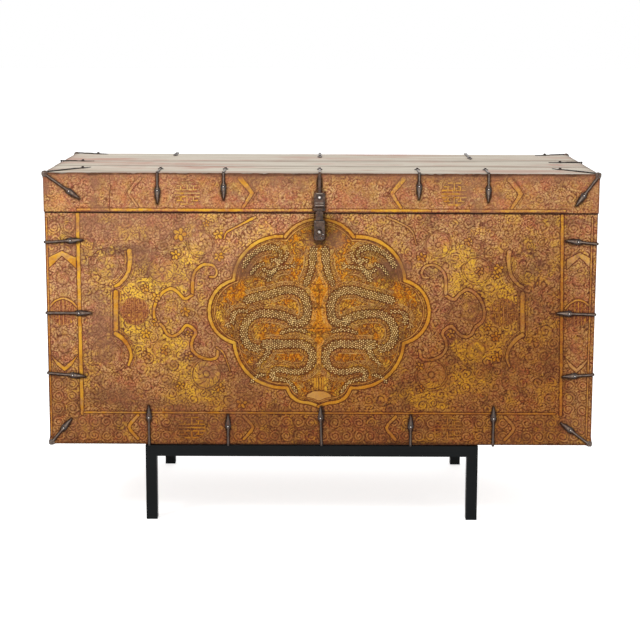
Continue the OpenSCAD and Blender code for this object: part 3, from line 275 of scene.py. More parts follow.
def gesso_finish(name, settings):
    """Painted and gilded gesso: colour follows the relief and the weights drawn on the sheet."""
    f = Finish(name)
    speck = f.noise(560, 2)
    grain = f.noise(230, 3, 0.6)
    soft = f.noise(60, 4, 0.65)
    height = f.sum("ADD", f.read("relief"), f.scale(grain, 0.3, 0.7, -0.22, 0.22))
    height = f.sum("ADD", height, f.scale(speck, 0.3, 0.7, -0.15, 0.15))

    # Broken paint on the crests, over the dark recesses
    warm = f.sum("ADD", f.read("warm"), f.scale(f.noise(70, 3), 0.35, 0.65, -0.45, 0.45), clamp=True)
    crest = f.layers(
        f.mix(warm, settings.rosy, settings.ochre),
        (f.read("tone"), 0.1, 1, 0.75, paint(240, 200, 136)),
        (soft, 0.5, 0.66, 0.45, paint(160, 96, 74)),
        (f.noise(30, 5, 0.62), 0.47, 0.58, 0.62, paint(206, 92, 68)),
        (f.noise(26, 5, 0.62, stretch=(1, 1.7, 1.1)), 0.5, 0.63, 0.6, paint(216, 168, 72)),
        (f.noise(42, 4, 0.6, 1.5), 0.5, 0.62, 0.5, paint(172, 102, 92)),
        (f.noise(150, 3, 0.6, 3.0), 0.54, 0.64, 0.5, paint(232, 184, 150)),
    )
    # Colour by height of the relief: dark paint with painted shade in the hollows, the crest paints above,
    # and a pale painted highlight on the highest crests
    ground = f.layers(
        f.mix(f.read("age"), paint(100, 52, 34), paint(44, 18, 12)),
        (height, 0.0, 0.42, 1, f.mix(0.16, settings.recess, crest)),
        (height, 0.3, 0.78, 1, crest),
        (height, 0.8, 1.2, 0.6, paint(250, 208, 142)),
    )
    spots = f.ramp(f.spots(430), (
        (0.0, paint(78, 40, 22)), (0.22, paint(150, 84, 66)), (0.42, paint(148, 102, 50)),
        (0.62, paint(200, 132, 100)), (0.8, paint(204, 156, 76)), (1.0, paint(244, 200, 140)),
    ))
    ground = f.layers(
        f.mix(0.34, ground, spots),
        (f.noise(7, 3), 0.4, 0.62, 0.2, paint(110, 68, 50)),
        (f.read("stain"), 0, 1, 0.7, paint(92, 60, 48)),
    )
    olive = f.mix(1.0, ground, paint(244, 228, 168), "MULTIPLY")
    ground = f.mix(f.read("umber"), ground, olive)

    # Gold flecks, orange fills, pale beads and the frets
    gleam = f.scale(f.spots(240), 0.2, 0.6, 0.4, 1)
    fleck = f.sum("MULTIPLY", f.read("fleck"), f.scale(height, 0.25, 0.7), clamp=True)
    fleck = f.sum("MULTIPLY", fleck, f.sum("MULTIPLY", gleam, f.scale(soft, 0.35, 0.5, 0.35, 1)))
    ground = f.mix(fleck, ground, paint(246, 196, 70))
    # These fills too are darker low in the relief and lighter on top, partly as painted shade and highlight
    orange = f.layers(
        paint(142, 72, 22),
        (height, 0.1, 0.75, 1, settings.orange),
        (grain, 0.52, 0.66, 0.8, paint(246, 188, 58)),
    )
    ground = f.mix(f.sum("MULTIPLY", f.read("orange"), f.scale(soft, 0.3, 0.5, 0.6, 1)), ground, orange)
    pale = f.mix(f.scale(height, 0.3, 0.85), paint(70, 44, 26), settings.pale)
    ground = f.mix(f.read("pale"), ground, pale)
    fret = f.mix(f.scale(height, 0, 0.8), paint(120, 52, 36), paint(200, 116, 76))
    ground = f.layers(ground, (f.read("red"), 0, 1, 0.6, fret))

    # Gilding, dark lines, wear, dark sooty paint with painted shade along the iron, and darkening
    gilt_edge = f.sum("ADD", f.read("gilt"), f.scale(grain, 0.3, 0.7, -0.28, 0.28))
    worn_gilt = f.scale(f.noise(60, 5, 0.7), 0.34, 0.52, 0.2, 1)
    gilt_share = f.sum("MULTIPLY", f.scale(gilt_edge, 0.2, 0.7), worn_gilt)
    gold = f.layers(
        paint(196, 124, 36),
        (f.noise(24, 4), 0.36, 0.56, 1, settings.gilt),
        (grain, 0.52, 0.72, 0.4, paint(244, 198, 92)),
    )
    soot = f.sum("MULTIPLY", f.read("soot"), f.scale(grain, 0.3, 0.6, 0.65, 1))
    ground = f.layers(
        f.mix(gilt_share, ground, gold),
        (f.read("line"), 0, 1, 0.8, paint(92, 42, 28)),
        (f.read("worn"), 0, 1, 0.72, f.mix(soft, paint(128, 84, 62), paint(186, 136, 104))),
        (soot, 0, 1, 0.85, paint(74, 44, 20)),
    )
    ground = f.mix(f.read("age"), ground, paint(190, 162, 120), "MULTIPLY")
    # Near-black: dark joints, and painted shadow under the iron arms
    ground = f.mix(f.read("seam"), ground, paint(26, 14, 10))
    rough = f.scale(gilt_share, 0, 1, 0.66, 0.46)
    metal = f.scale(gilt_share, 0, 1, 0.0, 0.15)
    return f.finish(ground, rough, metal, 0.12, f.sum("ADD", speck, grain))


def plank_finish(name, settings):
    """Bare weathered planks with the grain along the chest and pink paint in streaks."""
    f = Finish(name)
    grain = f.noise(1, 6, 0.65, 0.6, (5, 130, 60))
    fine = f.noise(1, 4, 0.7, 0.3, (16, 420, 200))
    broad = f.noise(1, 4, 0.62, 0.7, (1.6, 26, 12))
    cloud = f.noise(5, 4, 0.6, 0.8)
    streaks = f.noise(1, 3, 0.6, 0.9, (2.2, 17, 20))
    pink = f.sum("MULTIPLY", f.scale(streaks, 0.48, 0.6), f.scale(cloud, 0.42, 0.6, 0.1, 0.75))
    stops = (0.25, paint(126, 108, 90)), (0.42, settings.grey), (0.75, paint(222, 213, 198))
    colour = f.layers(f.ramp(grain, stops), (broad, 0.5, 0.66, 0.6, paint(158, 138, 118)))
    colour = f.mix(pink, colour, settings.stain)
    colour = f.layers(colour, (fine, 0.58, 0.75, 0.4, paint(110, 84, 66)))
    colour = f.mix(f.read("dirt"), colour, paint(84, 56, 42))
    rough = f.scale(grain, 0.3, 0.7, 0.8, 0.68)
    return f.finish(colour, rough, 0.0, 0.2, f.sum("ADD", grain, fine), strength=0.5, depth=0.0008)


def lacquer_finish(name, settings):
    """Old red-brown lacquer over upright boards, rubbed through in places."""
    f = Finish(name)
    streaks = f.noise(1, 5, 0.6, 0.3, (60, 5, 60))
    fine = f.noise(90, 4, 0.65)
    stops = (0.3, paint(86, 42, 32)), (0.5, settings.lacquer), (0.72, paint(146, 82, 54))
    colour = f.layers(
        f.ramp(f.noise(6, 4, 0.6), stops),
        (streaks, 0.52, 0.7, 0.5, paint(72, 40, 32)),
        (f.noise(1, 5, 0.7, stretch=(30, 9, 30)), 0.6, 0.7, 0.8, paint(164, 124, 88)),
        (fine, 0.5, 0.75, 0.3, paint(60, 34, 28)),
    )
    colour = f.mix(f.joints((0.368, 0.601)), colour, paint(44, 24, 18))
    return f.finish(colour, f.scale(fine, 0.3, 0.7, 0.42, 0.62), bump=f.sum("ADD", fine, streaks))


def bare_wood_finish(name, settings):
    """Unpainted boards of the back, bottom and inside, with the grain along the chest."""
    f = Finish(name)
    grain = f.noise(1, 6, 0.62, 0.35, (3, 70, 70))
    fine = f.noise(1, 3, 0.6, stretch=(12, 300, 300))
    stops = (0.28, paint(92, 62, 42)), (0.5, settings.bare), (0.74, paint(172, 132, 92))
    colour = f.layers(
        f.ramp(grain, stops),
        (fine, 0.5, 0.72, 0.45, paint(82, 54, 38)),
        (f.noise(4, 3), 0.4, 0.7, 0.35, paint(112, 84, 64)),
    )
    colour = f.mix(f.joints((0.352, 0.566)), colour, paint(40, 26, 18))
    rough = f.scale(grain, 0.3, 0.7, 0.7, 0.58)
    return f.finish(colour, rough, bump=f.sum("ADD", grain, fine), strength=0.35)


def iron_finish(name, settings, bare=0.0, shine=None):
    """Hammered wrought iron with rusty patches, darkened on its flanks by painted shade and bright on its
    crests as rubbed metal with painted highlight; its bare patches are rubbed metal, and near-white ones
    are painted glints.
    """
    f = Finish(name)
    wide = f.noise(45, 4, 0.6)
    fine = f.noise(420, 3, 0.6)
    patch = f.noise(110, 4)
    ridge = f.read("ridge")
    stops = (0.3, paint(30, 23, 20)), (0.52, settings.dark), (0.75, paint(78, 62, 52))
    colour = f.layers(f.ramp(wide, stops), (patch, 0.5, 0.62, 0.6, paint(92, 54, 36)))
    # Painted shade on the flanks, where the weight is below 0
    colour = f.mix(f.scale(ridge, -0.5, 0, 1, 0), colour, paint(26, 14, 10))
    # Rubbed metal with painted highlight on the crests
    rubbed = f.sum("MULTIPLY", ridge, f.scale(patch, 0.62, 0.42, 0.25, 0.9))
    colour = f.mix(rubbed, colour, settings.bright)
    # A near-white painted glint on the tops of the nails
    colour = f.layers(colour, (ridge, 1.2, 2, 1, paint(250, 246, 242)))
    if bare:
        # Bare patches of rubbed metal; where the shine is near-white, as on the lock stud, they are painted
        # glints
        colour = f.layers(colour, (f.noise(150, 4, 0.6, 0.4), 0.4, 0.6, bare, shine))
    colour = f.layers(colour, (fine, 0.6, 0.78, 0.25, settings.bright))
    rough = f.scale(wide, 0.3, 0.7, 0.3, 0.46)
    return f.finish(colour, rough, 0.0, 0.45, f.sum("ADD", wide, fine), strength=0.45)


def steel_finish(name, settings):
    """Satin black paint on the stand's tube, with faint dust."""
    f = Finish(name)
    fine = f.noise(900, 2)
    wide = f.noise(11, 4)
    colour = f.layers(
        settings.steel,
        (wide, 0.4, 0.7, 0.6, paint(24, 26, 27)),
        (fine, 0.62, 0.8, 0.3, paint(44, 46, 47)),
    )
    rough = f.scale(wide, 0.3, 0.7, 0.36, 0.48)
    return f.finish(colour, rough, 0.0, 0.1, fine, strength=0.08, depth=0.0002)


def finishes():
    """Every finish of the chest, made once and kept by name."""
    scene = bpy.context.scene
    makers = (
        ("look_gilded_gesso", gesso_finish, scene.chest_gesso),
        ("look_weathered_wood", plank_finish, scene.chest_timber),
        ("look_worn_lacquer", lacquer_finish, scene.chest_timber),
        ("look_bare_wood", bare_wood_finish, scene.chest_timber),
        ("look_wrought_iron", iron_finish, scene.chest_iron),
        ("look_rubbed_iron", iron_finish, scene.chest_iron, 0.38, paint(132, 100, 80)),
        # The lock stud's iron: its near-white patches are painted glints
        ("look_bright_iron", iron_finish, scene.chest_iron, 1.0, paint(232, 224, 216)),
        ("look_black_steel", steel_finish, scene.chest_stand),
    )
    for name, make, *values in makers:
        if name not in bpy.data.materials:
            make(name, *values)
    return bpy.data.materials


# Meshes

def add_object(name, data):
    """A thing in the scene that shows a mesh, lamp or camera."""
    thing = bpy.data.objects.new(name, data)
    bpy.context.scene.collection.objects.link(thing)
    return thing


def add_piece(name, points, faces, finish, body, replaces, weights, rim=None):
    """A mesh piece that rides on a CAD body. Points are in millimetres, faces in groups of like size."""
    mesh = bpy.data.meshes.new(name)
    points = np.asarray(points, np.float64) * MM
    mesh.vertices.add(len(points))
    mesh.vertices.foreach_set("co", points.astype(np.float32).ravel())
    groups = [np.asarray(group, np.int32) for group in faces if len(group)]
    corners = np.concatenate([group.ravel() for group in groups])
    sizes = np.concatenate([np.full(len(group), group.shape[1], np.int32) for group in groups])
    mesh.loops.add(len(corners))
    mesh.loops.foreach_set("vertex_index", corners)
    mesh.polygons.add(len(sizes))
    mesh.polygons.foreach_set("loop_start", np.concatenate([[0], np.cumsum(sizes)[:-1]]).astype(np.int32))
    mesh.polygons.foreach_set("use_smooth", np.ones(len(sizes), bool))
    mesh.update(calc_edges=True)
    mesh.validate()
    for key, values in weights.items():
        layer = mesh.attributes.new(key, "FLOAT", "POINT")
        layer.data.foreach_set("value", np.asarray(values, np.float32).ravel())
    if rim is not None:
        ends = np.zeros(len(mesh.edges) * 2, np.int32)
        mesh.edges.foreach_get("vertices", ends)
        on_rim = rim[ends].reshape(-1, 2).all(1)
        layer = mesh.attributes.new("sharp_edge", "BOOLEAN", "EDGE")
        layer.data.foreach_set("value", on_rim)
    piece = add_object(name, mesh)
    mesh.materials.append(finishes()[finish])
    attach(piece, body)
    if replaces:
        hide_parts(*replaces)


def slab(name, top, axis, level, finish, body, replaces, weights):
    """A closed slab: a grid of points, straight sides down to a level on one axis, and a flat back."""
    rows, columns = top.shape[:2]
    index = np.arange(rows * columns).reshape(rows, columns)
    quads = np.stack([index[:-1, :-1], index[:-1, 1:], index[1:, 1:], index[1:, :-1]], -1).reshape(-1, 4)
    around = np.concatenate([index[0, :], index[1:, -1], index[-1, -2::-1], index[-2:0:-1, 0]])
    low = rows * columns + np.arange(len(around))
    after = np.roll(np.arange(len(around)), -1)
    sides = np.stack([around, low, low[after], around[after]], -1)
    centre = rows * columns + len(around)
    back = np.stack([low[after], low, np.full(len(around), centre)], -1)
    base = top.reshape(-1, 3)[around]
    base[:, axis] = level
    points = np.concatenate([top.reshape(-1, 3), base, base.mean(0)[None]])
    rim = np.zeros(len(points), bool)
    rim[around] = True
    rim[low] = True
    filled = {}
    for key, values in weights.items():
        filled[key] = np.concatenate([np.ravel(values), np.zeros(len(around) + 1)])
    add_piece(name, points, [quads, sides, back], finish, body, replaces, filled, rim)


# Drawing on the gesso

def curve(points, steps=8):
    """A smooth line through points, with steps between each pair."""
    p = np.asarray(points, float)
    p = np.vstack([2 * p[0] - p[1], p, 2 * p[-1] - p[-2]])
    made = []
    for i in range(1, len(p) - 2):
        for t in np.linspace(0, 1, steps, endpoint=False):
            a, b, c, d = p[i - 1], p[i], p[i + 1], p[i + 2]
            made.append(0.5 * (2 * b + (c - a) * t + (2 * a - 5 * b + 4 * c - d) * t * t
                               + (3 * b - a - 3 * c + d) * t ** 3))
    made.append(p[-2])
    return np.array(made)


def arc(start, through, end, steps):
    """Points on the circle through three points."""
    (ax, ay), (bx, by), (cx, cy) = start, through, end
    aa, bb, cc = ax * ax + ay * ay, bx * bx + by * by, cx * cx + cy * cy
    d = 2 * (ax * (by - cy) + bx * (cy - ay) + cx * (ay - by))
    ux = (aa * (by - cy) + bb * (cy - ay) + cc * (ay - by)) / d
    uy = (aa * (cx - bx) + bb * (ax - cx) + cc * (bx - ax)) / d
    r = math.hypot(ax - ux, ay - uy)
    a0, a1, a2 = (math.atan2(y - uy, x - ux) for x, y in (start, through, end))
    turn = (a2 - a0) % (2 * math.pi)
    if (a1 - a0) % (2 * math.pi) > turn:
        turn -= 2 * math.pi
    angles = a0 + turn * np.linspace(0, 1, steps)
    return np.stack([ux + r * np.cos(angles), uy + r * np.sin(angles)], 1)


def circle_points(x, z, r, steps=40):
    """Points round a circle, with the first one again at the end."""
    angles = np.linspace(0, 2 * math.pi, steps + 1)
    return np.stack([x + r * np.cos(angles), z + r * np.sin(angles)], 1)


def mirrored(points):
    """Points on the other side of the medallion's middle."""
    p = np.array(points, float)
    p[:, 0] = 2 * MIDDLE_X - p[:, 0]
    return p


def from_middle(points, side):
    """Points that are measured from the medallion's middle, put on its right (1) or left (-1)."""
    return np.array(points, float) * (side, 1) + (MIDDLE_X, 0)


class GessoSheet:
    """A sheet of gesso: how far it stands up, and how much of each paint it has, at every cell."""

    PAINTS = ("gilt", "orange", "pale", "line", "warm", "tone", "fleck", "worn", "age", "red",
              "soot", "seam", "umber", "stain")

    # The paints that a new stroke covers, the rise that counts as a full crest, and far from any line
    COVERED = ("gilt", "orange", "pale", "fleck", "soot", "seam")
    FULL_RISE = 0.9
    FAR = 999.0

    def __init__(self, left, right, tall, cell):
        self.x = np.linspace(left, right, round((right - left) / cell) + 1)
        self.z = np.linspace(0, tall, round(tall / cell) + 1)
        self.grid_x, self.grid_z = np.meshgrid(self.x, self.z)
        shape = self.grid_x.shape
        self.rise = np.zeros(shape)
        self.ragged = 1.5 * (cloudy(shape, 71, ((9, 1.0), (4, 0.6))) - 0.5)
        for name in self.PAINTS:
            setattr(self, name, np.zeros(shape))

    def window(self, low, high):
        """The rows and columns of the cells between two corners."""
        spans = []
        for cells, start, end in ((self.z, low[1], high[1]), (self.x, low[0], high[0])):
            first, last = np.searchsorted(cells, (start, end))
            spans.append(slice(first, min(last + 1, len(cells))))
        return tuple(spans)

    def oval(self, x, z, rx, rz, reach):
        """The cells round an oval, and how far each is from its middle, with 1 on its rim."""
        where = self.window((x - reach * rx, z - reach * rz), (x + reach * rx, z + reach * rz))
        return where, np.hypot((self.grid_x[where] - x) / rx, (self.grid_z[where] - z) / rz)

    def around(self, x, z, reach, stray):
        """The cells round a point, with the distance and the angle of each, a little astray."""
        where = self.window((x - reach, z - reach), (x + reach, z + reach))
        dx = self.grid_x[where] - x + stray * self.ragged[where]
        dz = self.grid_z[where] - z - stray * self.ragged[where]
        return where, np.hypot(dx, dz), np.arctan2(dz, dx)

    def deepen(self, name, amount, where=...):
        """Brings a paint up to an amount where there is less of it."""
        layer = getattr(self, name)
        layer[where] = np.maximum(layer[where], amount)

    def blend(self, name, where, share, value):
        """Changes a share of a paint or of the rise to another value."""
        layer = getattr(self, name)
        layer[where] = layer[where] * (1 - share) + value * share

    def wash(self, where, share, paints):
        """Adds paints to what is there."""
        for name, amount in paints.items():
            layer = getattr(self, name)
            layer[where] = np.clip(layer[where] + amount * share, 0, 1)

    def near(self, points, reach):
        """The cells near a line, how far each is from it, and how far along it, from 0 to 1."""
        p = np.asarray(points, float)
        where = self.window(p.min(0) - reach, p.max(0) + reach)
        x, z = self.grid_x[where], self.grid_z[where]
        far = np.full(x.shape, self.FAR)
        along = np.zeros(x.shape)
        if not x.size:
            return where, far, along
        for i in range(len(p) - 1):
            a, b = p[i], p[i + 1]
            low, high = np.minimum(a, b) - reach, np.maximum(a, b) + reach
            i0, i1 = np.searchsorted(x[0], [low[0], high[0]])
            j0, j1 = np.searchsorted(z[:, 0], [low[1], high[1]])
            part = (slice(j0, j1), slice(i0, i1))
            dx, dz = x[part] - a[0], z[part] - a[1]
            run = b - a
            t = np.clip((dx * run[0] + dz * run[1]) / max(run @ run, 1e-9), 0, 1)
            d = np.hypot(dx - t * run[0], dz - t * run[1])
            closer = d < far[part]
            far[part] = np.where(closer, d, far[part])
            along[part] = np.where(closer, (i + t) / (len(p) - 1), along[part])
        return where, far, along

    def lay(self, where, far, half, rise, groove=2.1, flat=0.5, **paints):
        """Lays a raised line or area over what is there, with a dark groove round it."""
        half = half + self.ragged[where]
        cover = 1 - ease(half + groove - 1.3, half + groove, far)
        body = 1 - ease(half - 0.7, half + 0.7, far)
        bump = rise * np.clip(1 - (np.clip(far, 0, None) / np.maximum(half, 0.1)) ** 2, 0, 1) ** flat
        self.rise[where] = np.maximum(self.rise[where] * (1 - cover), bump)
        for name in self.COVERED:
            layer = getattr(self, name)
            layer[where] = layer[where] * (1 - cover) + paints.get(name, 0.0) * body
        self.line[where] = self.line[where] * (1 - cover) + cover * (1 - body)

    def stroke(self, points, half, rise, taper=None, **rest):
        """A raised line of one width, or of a width that changes to taper at its end."""
        half_end = half if taper is None else taper
        where, far, along = self.near(points, max(half, half_end) + 3)
        self.lay(where, far, half + (half_end - half) * along, rise, **rest)

    def mark(self, points, half, amount=1.0):
        """A dark line drawn with the point, without relief."""
        where, far, _ = self.near(points, half + 2)
        share = (1 - ease(half - 0.6, half + 0.8, far)) * amount
        self.deepen("line", share, where)
        self.rise[where] *= 1 - share

    def inside(self, points):
        """The cells round an outline, and how far each is outside it, negative inside."""
        p = np.asarray(points, float)
        if np.abs(p[0] - p[-1]).max() > 1e-6:
            p = np.vstack([p, p[:1]])
        where, far, _ = self.near(p, 30)
        x, z = self.grid_x[where], self.grid_z[where]
        odd = np.zeros(x.shape, bool)
        for (ax, az), (bx, bz) in zip(p[:-1], p[1:]):
            if az == bz:
                continue
            cross = (z > min(az, bz)) & (z <= max(az, bz))
            odd ^= cross & (x < ax + (z - az) * (bx - ax) / (bz - az))
        return where, np.where(odd, -np.minimum(far, 30), far)

    def area(self, points, rise, edge=1.5, **rest):
        """A raised area inside an outline."""
        where, out = self.inside(points)
        self.lay(where, out + edge, edge, rise, **rest)

    def tint(self, points, soft, **paints):
        """Adds paint inside an outline and leaves the relief."""
        where, out = self.inside(points)
        self.wash(where, 1 - ease(-soft, soft, out), paints)

    def blot(self, x, z, rx, rz, soft, **paints):
        """Adds paint in an oval with a soft rim."""
        where, q = self.oval(x, z, rx, rz, 1.6)
        self.wash(where, 1 - ease(1 - soft, 1 + soft, q), paints)


def cloudy(shape, seed, sizes):
    """Smooth random values from 0 to 1: coarse grids of random numbers, blended and added."""
    draw = np.random.default_rng(seed)
    total = np.zeros(shape)
    for size, amount in sizes:
        rows, columns = shape[0] // size + 3, shape[1] // size + 3
        coarse = draw.random((rows, columns))
        z = np.arange(shape[0]) / size
        x = np.arange(shape[1]) / size
        j, i = z.astype(int), x.astype(int)
        tz, tx = ease(0, 1, z - j)[:, None], ease(0, 1, x - i)[None]
        top = coarse[j][:, i] * (1 - tx) + coarse[j][:, i + 1] * tx
        low = coarse[j + 1][:, i] * (1 - tx) + coarse[j + 1][:, i + 1] * tx
        total += amount * (top * (1 - tz) + low * tz)
    return total / sum(amount for _, amount in sizes)


def leaf_buds(sheet, seed, pitch, bend=(0.0, 0.0)):
    """Small packed buds with thin grooves between them, and two random tones for each."""
    draw = np.random.default_rng(seed)
    columns = int((sheet.x[-1] - sheet.x[0]) / pitch) + 6
    rows = int(sheet.z[-1] / pitch) + 6
    jitter = draw.random((rows, columns, 4))
    gx = (sheet.grid_x + bend[0] - sheet.x[0]) / pitch + 2
    gz = (sheet.grid_z + bend[1]) / pitch + 2
    i, j = gx.astype(int), gz.astype(int)
    first = np.full(gx.shape, 9.0)
    second = np.full(gx.shape, 9.0)
    tone = np.zeros(gx.shape)
    hue = np.zeros(gx.shape)
    for dj in (-1, 0, 1):
        for di in (-1, 0, 1):
            jj, ii = np.clip(j + dj, 0, rows - 1), np.clip(i + di, 0, columns - 1)
            spot = jitter[jj, ii]
            d = np.hypot(gx - (ii + spot[..., 0]), gz - (jj + spot[..., 1]))
            nearer = d < first
            second = np.where(nearer, first, np.minimum(second, d))
            tone = np.where(nearer, spot[..., 2], tone)
            hue = np.where(nearer, spot[..., 3], hue)
            first = np.where(nearer, d, first)
    return ease(0.03, 0.3, second - first), tone, hue


def packed_circles(draw, half, tall, sizes, tries):
    """Circles of mixed sizes that lie side by side, each as x, z and radius."""
    placed = np.empty((0, 3))
    for r in sizes:
        for x, z in draw.random((tries, 2)) * (2 * half, tall) + (-half, 0):
            gap = np.hypot(placed[:, 0] - x, placed[:, 1] - z) - placed[:, 2] - r
            if not len(gap) or gap.min() >= -0.08 * r:
                placed = np.vstack([placed, (x, z, r)])
    return placed


def scroll_ground(sheet, seed, circles, pitch, rise):
    """Covers the sheet with leafy tendrils: packed buds, and broken spiral lines in the circles."""
    draw = np.random.default_rng(seed)
    shape = sheet.rise.shape
    bend = [(cloudy(shape, seed + k, ((10, 1.0), (5, 0.8))) - 0.5) * 11 for k in (2, 3)]
    buds, tone, hue = leaf_buds(sheet, seed + 1, 6.6, bend)
    broken = cloudy(shape, seed + 4, ((8, 1.0), (4, 0.8)))
    sheet.rise[:] = buds
    sheet.tone[:] = tone ** 3
    sheet.warm[:] += (hue - 0.5) * 0.4
    nearest = np.full(shape, 9.0)
    for x, z, r in circles:
        hand = draw.choice([-1, 1])
        phase, swell, depth = draw.random(3)
        where = sheet.window((x - 1.5 * r, z - 1.5 * r), (x + 1.5 * r, z + 1.5 * r))
        dx = sheet.grid_x[where] + 0.7 * bend[0][where] - x
        dz = sheet.grid_z[where] + 0.7 * bend[1][where] - z
        d = np.hypot(dx, dz)
        q = d / r
        turns = d / (pitch * (0.85 + 0.4 * swell)) - hand * np.arctan2(dz, dx) / (2 * math.pi) + phase
        wave = 0.5 + 0.5 * np.cos(2 * math.pi * turns)
        gap = (1 - wave) ** 3.5 * (0.35 + 0.65 * ease(0.35, 0.6, broken[where]))
        crest = (0.55 - 0.2 * depth) * buds[where] + (0.45 + 0.2 * depth) * wave ** 0.5
        value = crest * (1 - 0.95 * gap)
        share = 1 - ease(0.84, 1.04, q)
        mine = q < nearest[where]
        value = value * share + buds[where] * (1 - share)
        sheet.rise[where] = np.where(mine, value, sheet.rise[where])
        nearest[where] = np.minimum(nearest[where], q)
    sheet.rise *= rise


def fret_roundel(sheet, x, z, r, paints, squash=1.0, upright=False, red=0.0, half=1.2):
    """Short bars set inside a round, a common fret with no meaning as writing."""
    ring = circle_points(0, 0, r) * (1, squash) + (x, z)
    where, out = sheet.inside(ring)
    inner = 1 - ease(-1, 1, out)
    sheet.rise[where] *= 1 - 0.45 * inner
    sheet.deepen("red", red * inner, where)
    bars = []
    for row in range(-3, 4):
        step = 0.29 * row
        reach = math.sqrt(1 - step * step)
        if row == 0:
            bars.append(((-reach, 0), (reach, 0)))
            continue
        inset = 0.12 if row % 2 else 0.34
        bars.append(((-reach, step), (-inset, step)))
        bars.append(((inset, step), (reach, step)))
    for across, far in ((0, 0.87), (0, -0.87), (-0.5, 0.58), (0.5, 0.58), (-0.5, -0.58), (0.5, -0.58)):
        bars.append(((across, far), (across, math.copysign(0.29, far))))
    sheet.stroke(ring, 1.1, 0.9, groove=0.9, gilt=0.4 * paints["gilt"])
    for ends in bars:
        line = np.array(ends) * r
        if upright:
            line = line[:, ::-1]
        sheet.stroke(line * (1, squash) + (x, z), half, 1.1, groove=1.1, **paints)


def rosette(sheet, x, z, r, petals, tint):
    """A loose flower of curled petals, faint on the scrolls, inside a fine double ring."""
    where, d, angle = sheet.around(x, z, r + 4, 2.2)
    q = d / r
    body = np.zeros(d.shape)
    for low, high, shift in ((0.2, 0.54, 0.0), (0.48, 0.86, 0.5)):
        lobe = np.abs(np.cos(petals / 2 * (angle + 1.1 * (q - low)) + shift * math.pi))
        reach = low + (high - low) * (0.4 + 0.6 * lobe ** 0.5)
        petal = ease(low, low + 0.1, q) * (1 - ease(reach - 0.08, reach + 0.04, q)) * ease(0.08, 0.4, lobe)
        vein = 1 - 0.5 * np.exp(-((lobe - 1) / 0.03) ** 2)
        body = np.maximum(body, petal * vein)
    body = np.where(q < 0.15, 1.0, body)
    for at in (0.82, 0.98):
        body = np.maximum(body, 0.8 * np.exp(-((q - at) * r / 1.5) ** 2))
    share = 0.9 * (1 - ease(r, r + 1.5, d))
    sheet.blend("rise", where, share, 0.85 * body + 0.15 * sheet.rise[where])
    sheet.tone[where] = sheet.tone[where] * (1 - 0.5 * share) + tint * share * body * 0.7
    sheet.deepen("line", 0.75 * np.exp(-((d - r - 1) / 1.1) ** 2), where)


# The front of the body

# Lines are points across the chest from its middle and up from the underside of its body

CHEST_LEFT_LINE = [(-545, 72), (-546, 300), (-546, 530)]
CHEST_RIGHT_LINE = [(549, 72), (545, 300), (540, 530)]
MEDALLION_HALF = np.vstack([
    arc((0, 519), (38, 512), (77, 480), 10),
    arc((77, 480), (156, 455), (193, 381), 18),
    arc((193, 381), (249, 309), (192, 237), 20),
    arc((192, 237), (161, 166), (73, 133), 18),
    curve([(73, 133), (62, 113), (44, 101), (20, 97), (0, 89)], 5),
])


def medallion_outline():
    """The whole lobed outline: down its right side, and up its left."""
    return np.vstack([from_middle(MEDALLION_HALF, 1), from_middle(MEDALLION_HALF[::-1], -1)])


# Beaded bodies of the two facing beasts, as distance from the middle and height, with half widths
SCALED_BODIES = (
    (((13, 450), (15, 426), (18, 405), (24, 388), (30, 374)), 9, 7),
    (((162, 336), (132, 345), (107, 350), (83, 358), (58, 358), (38, 349), (28, 331), (26, 310), (31, 291),
      (45, 282), (62, 286)), 9.5, 9.5),
    (((62, 291), (83, 300), (107, 304), (131, 305), (155, 296), (169, 275), (170, 250), (160, 231),
      (141, 224)), 10.5, 9),
    (((121, 234), (90, 234), (62, 235), (38, 234), (19, 220), (15, 201), (22, 182), (41, 171), (65, 171),
      (90, 176), (105, 171), (103, 155), (83, 152), (65, 143), (53, 125)), 11.5, 4.5),
    (((114, 222), (121, 206), (136, 191)), 7.5, 4),
    (((169, 415), (155, 437), (131, 452), (107, 456), (88, 447), (90, 430), (107, 426)), 7.5, 5),
    (((114, 384), (107, 398), (90, 409), (69, 412)), 6.5, 5),
    (((195, 286), (196, 300), (183, 310), (165, 310)), 6.5, 5),
    (((124, 405), (106, 399), (91, 420), (78, 428), (72, 444)), 5.2, 4),
    (((152, 398), (141, 412), (126, 418)), 5.2, 4),
    (((84, 261), (66, 267), (48, 268), (32, 264)), 5, 5),
    (((152, 148), (140, 160), (124, 163)), 5, 3.6),
)

# The ends of the beasts' limbs, with the way each points in degrees
CLAWS = ((134, 189, -50), (62, 414, 165), (88, 424, -20), (205, 282, -80), (50, 122, -60), (104, 153, 40))

# The jewelled column between the beasts, down its right side
COLUMN = (
    (0, 465), (5, 460), (4, 425), (9, 412), (3, 402), (10, 385), (19, 372), (20, 345), (14, 325), (17, 300),
    (21, 282), (29, 275), (29, 267), (10, 262), (5, 254), (13, 242), (5, 228), (4, 182), (0, 176),
)
COLUMN_LINES = (
    ((-13, 372), (13, 372)), ((-16, 318), (16, 318)), ((-28, 271), (28, 271)), ((0, 360), (0, 326)),
)

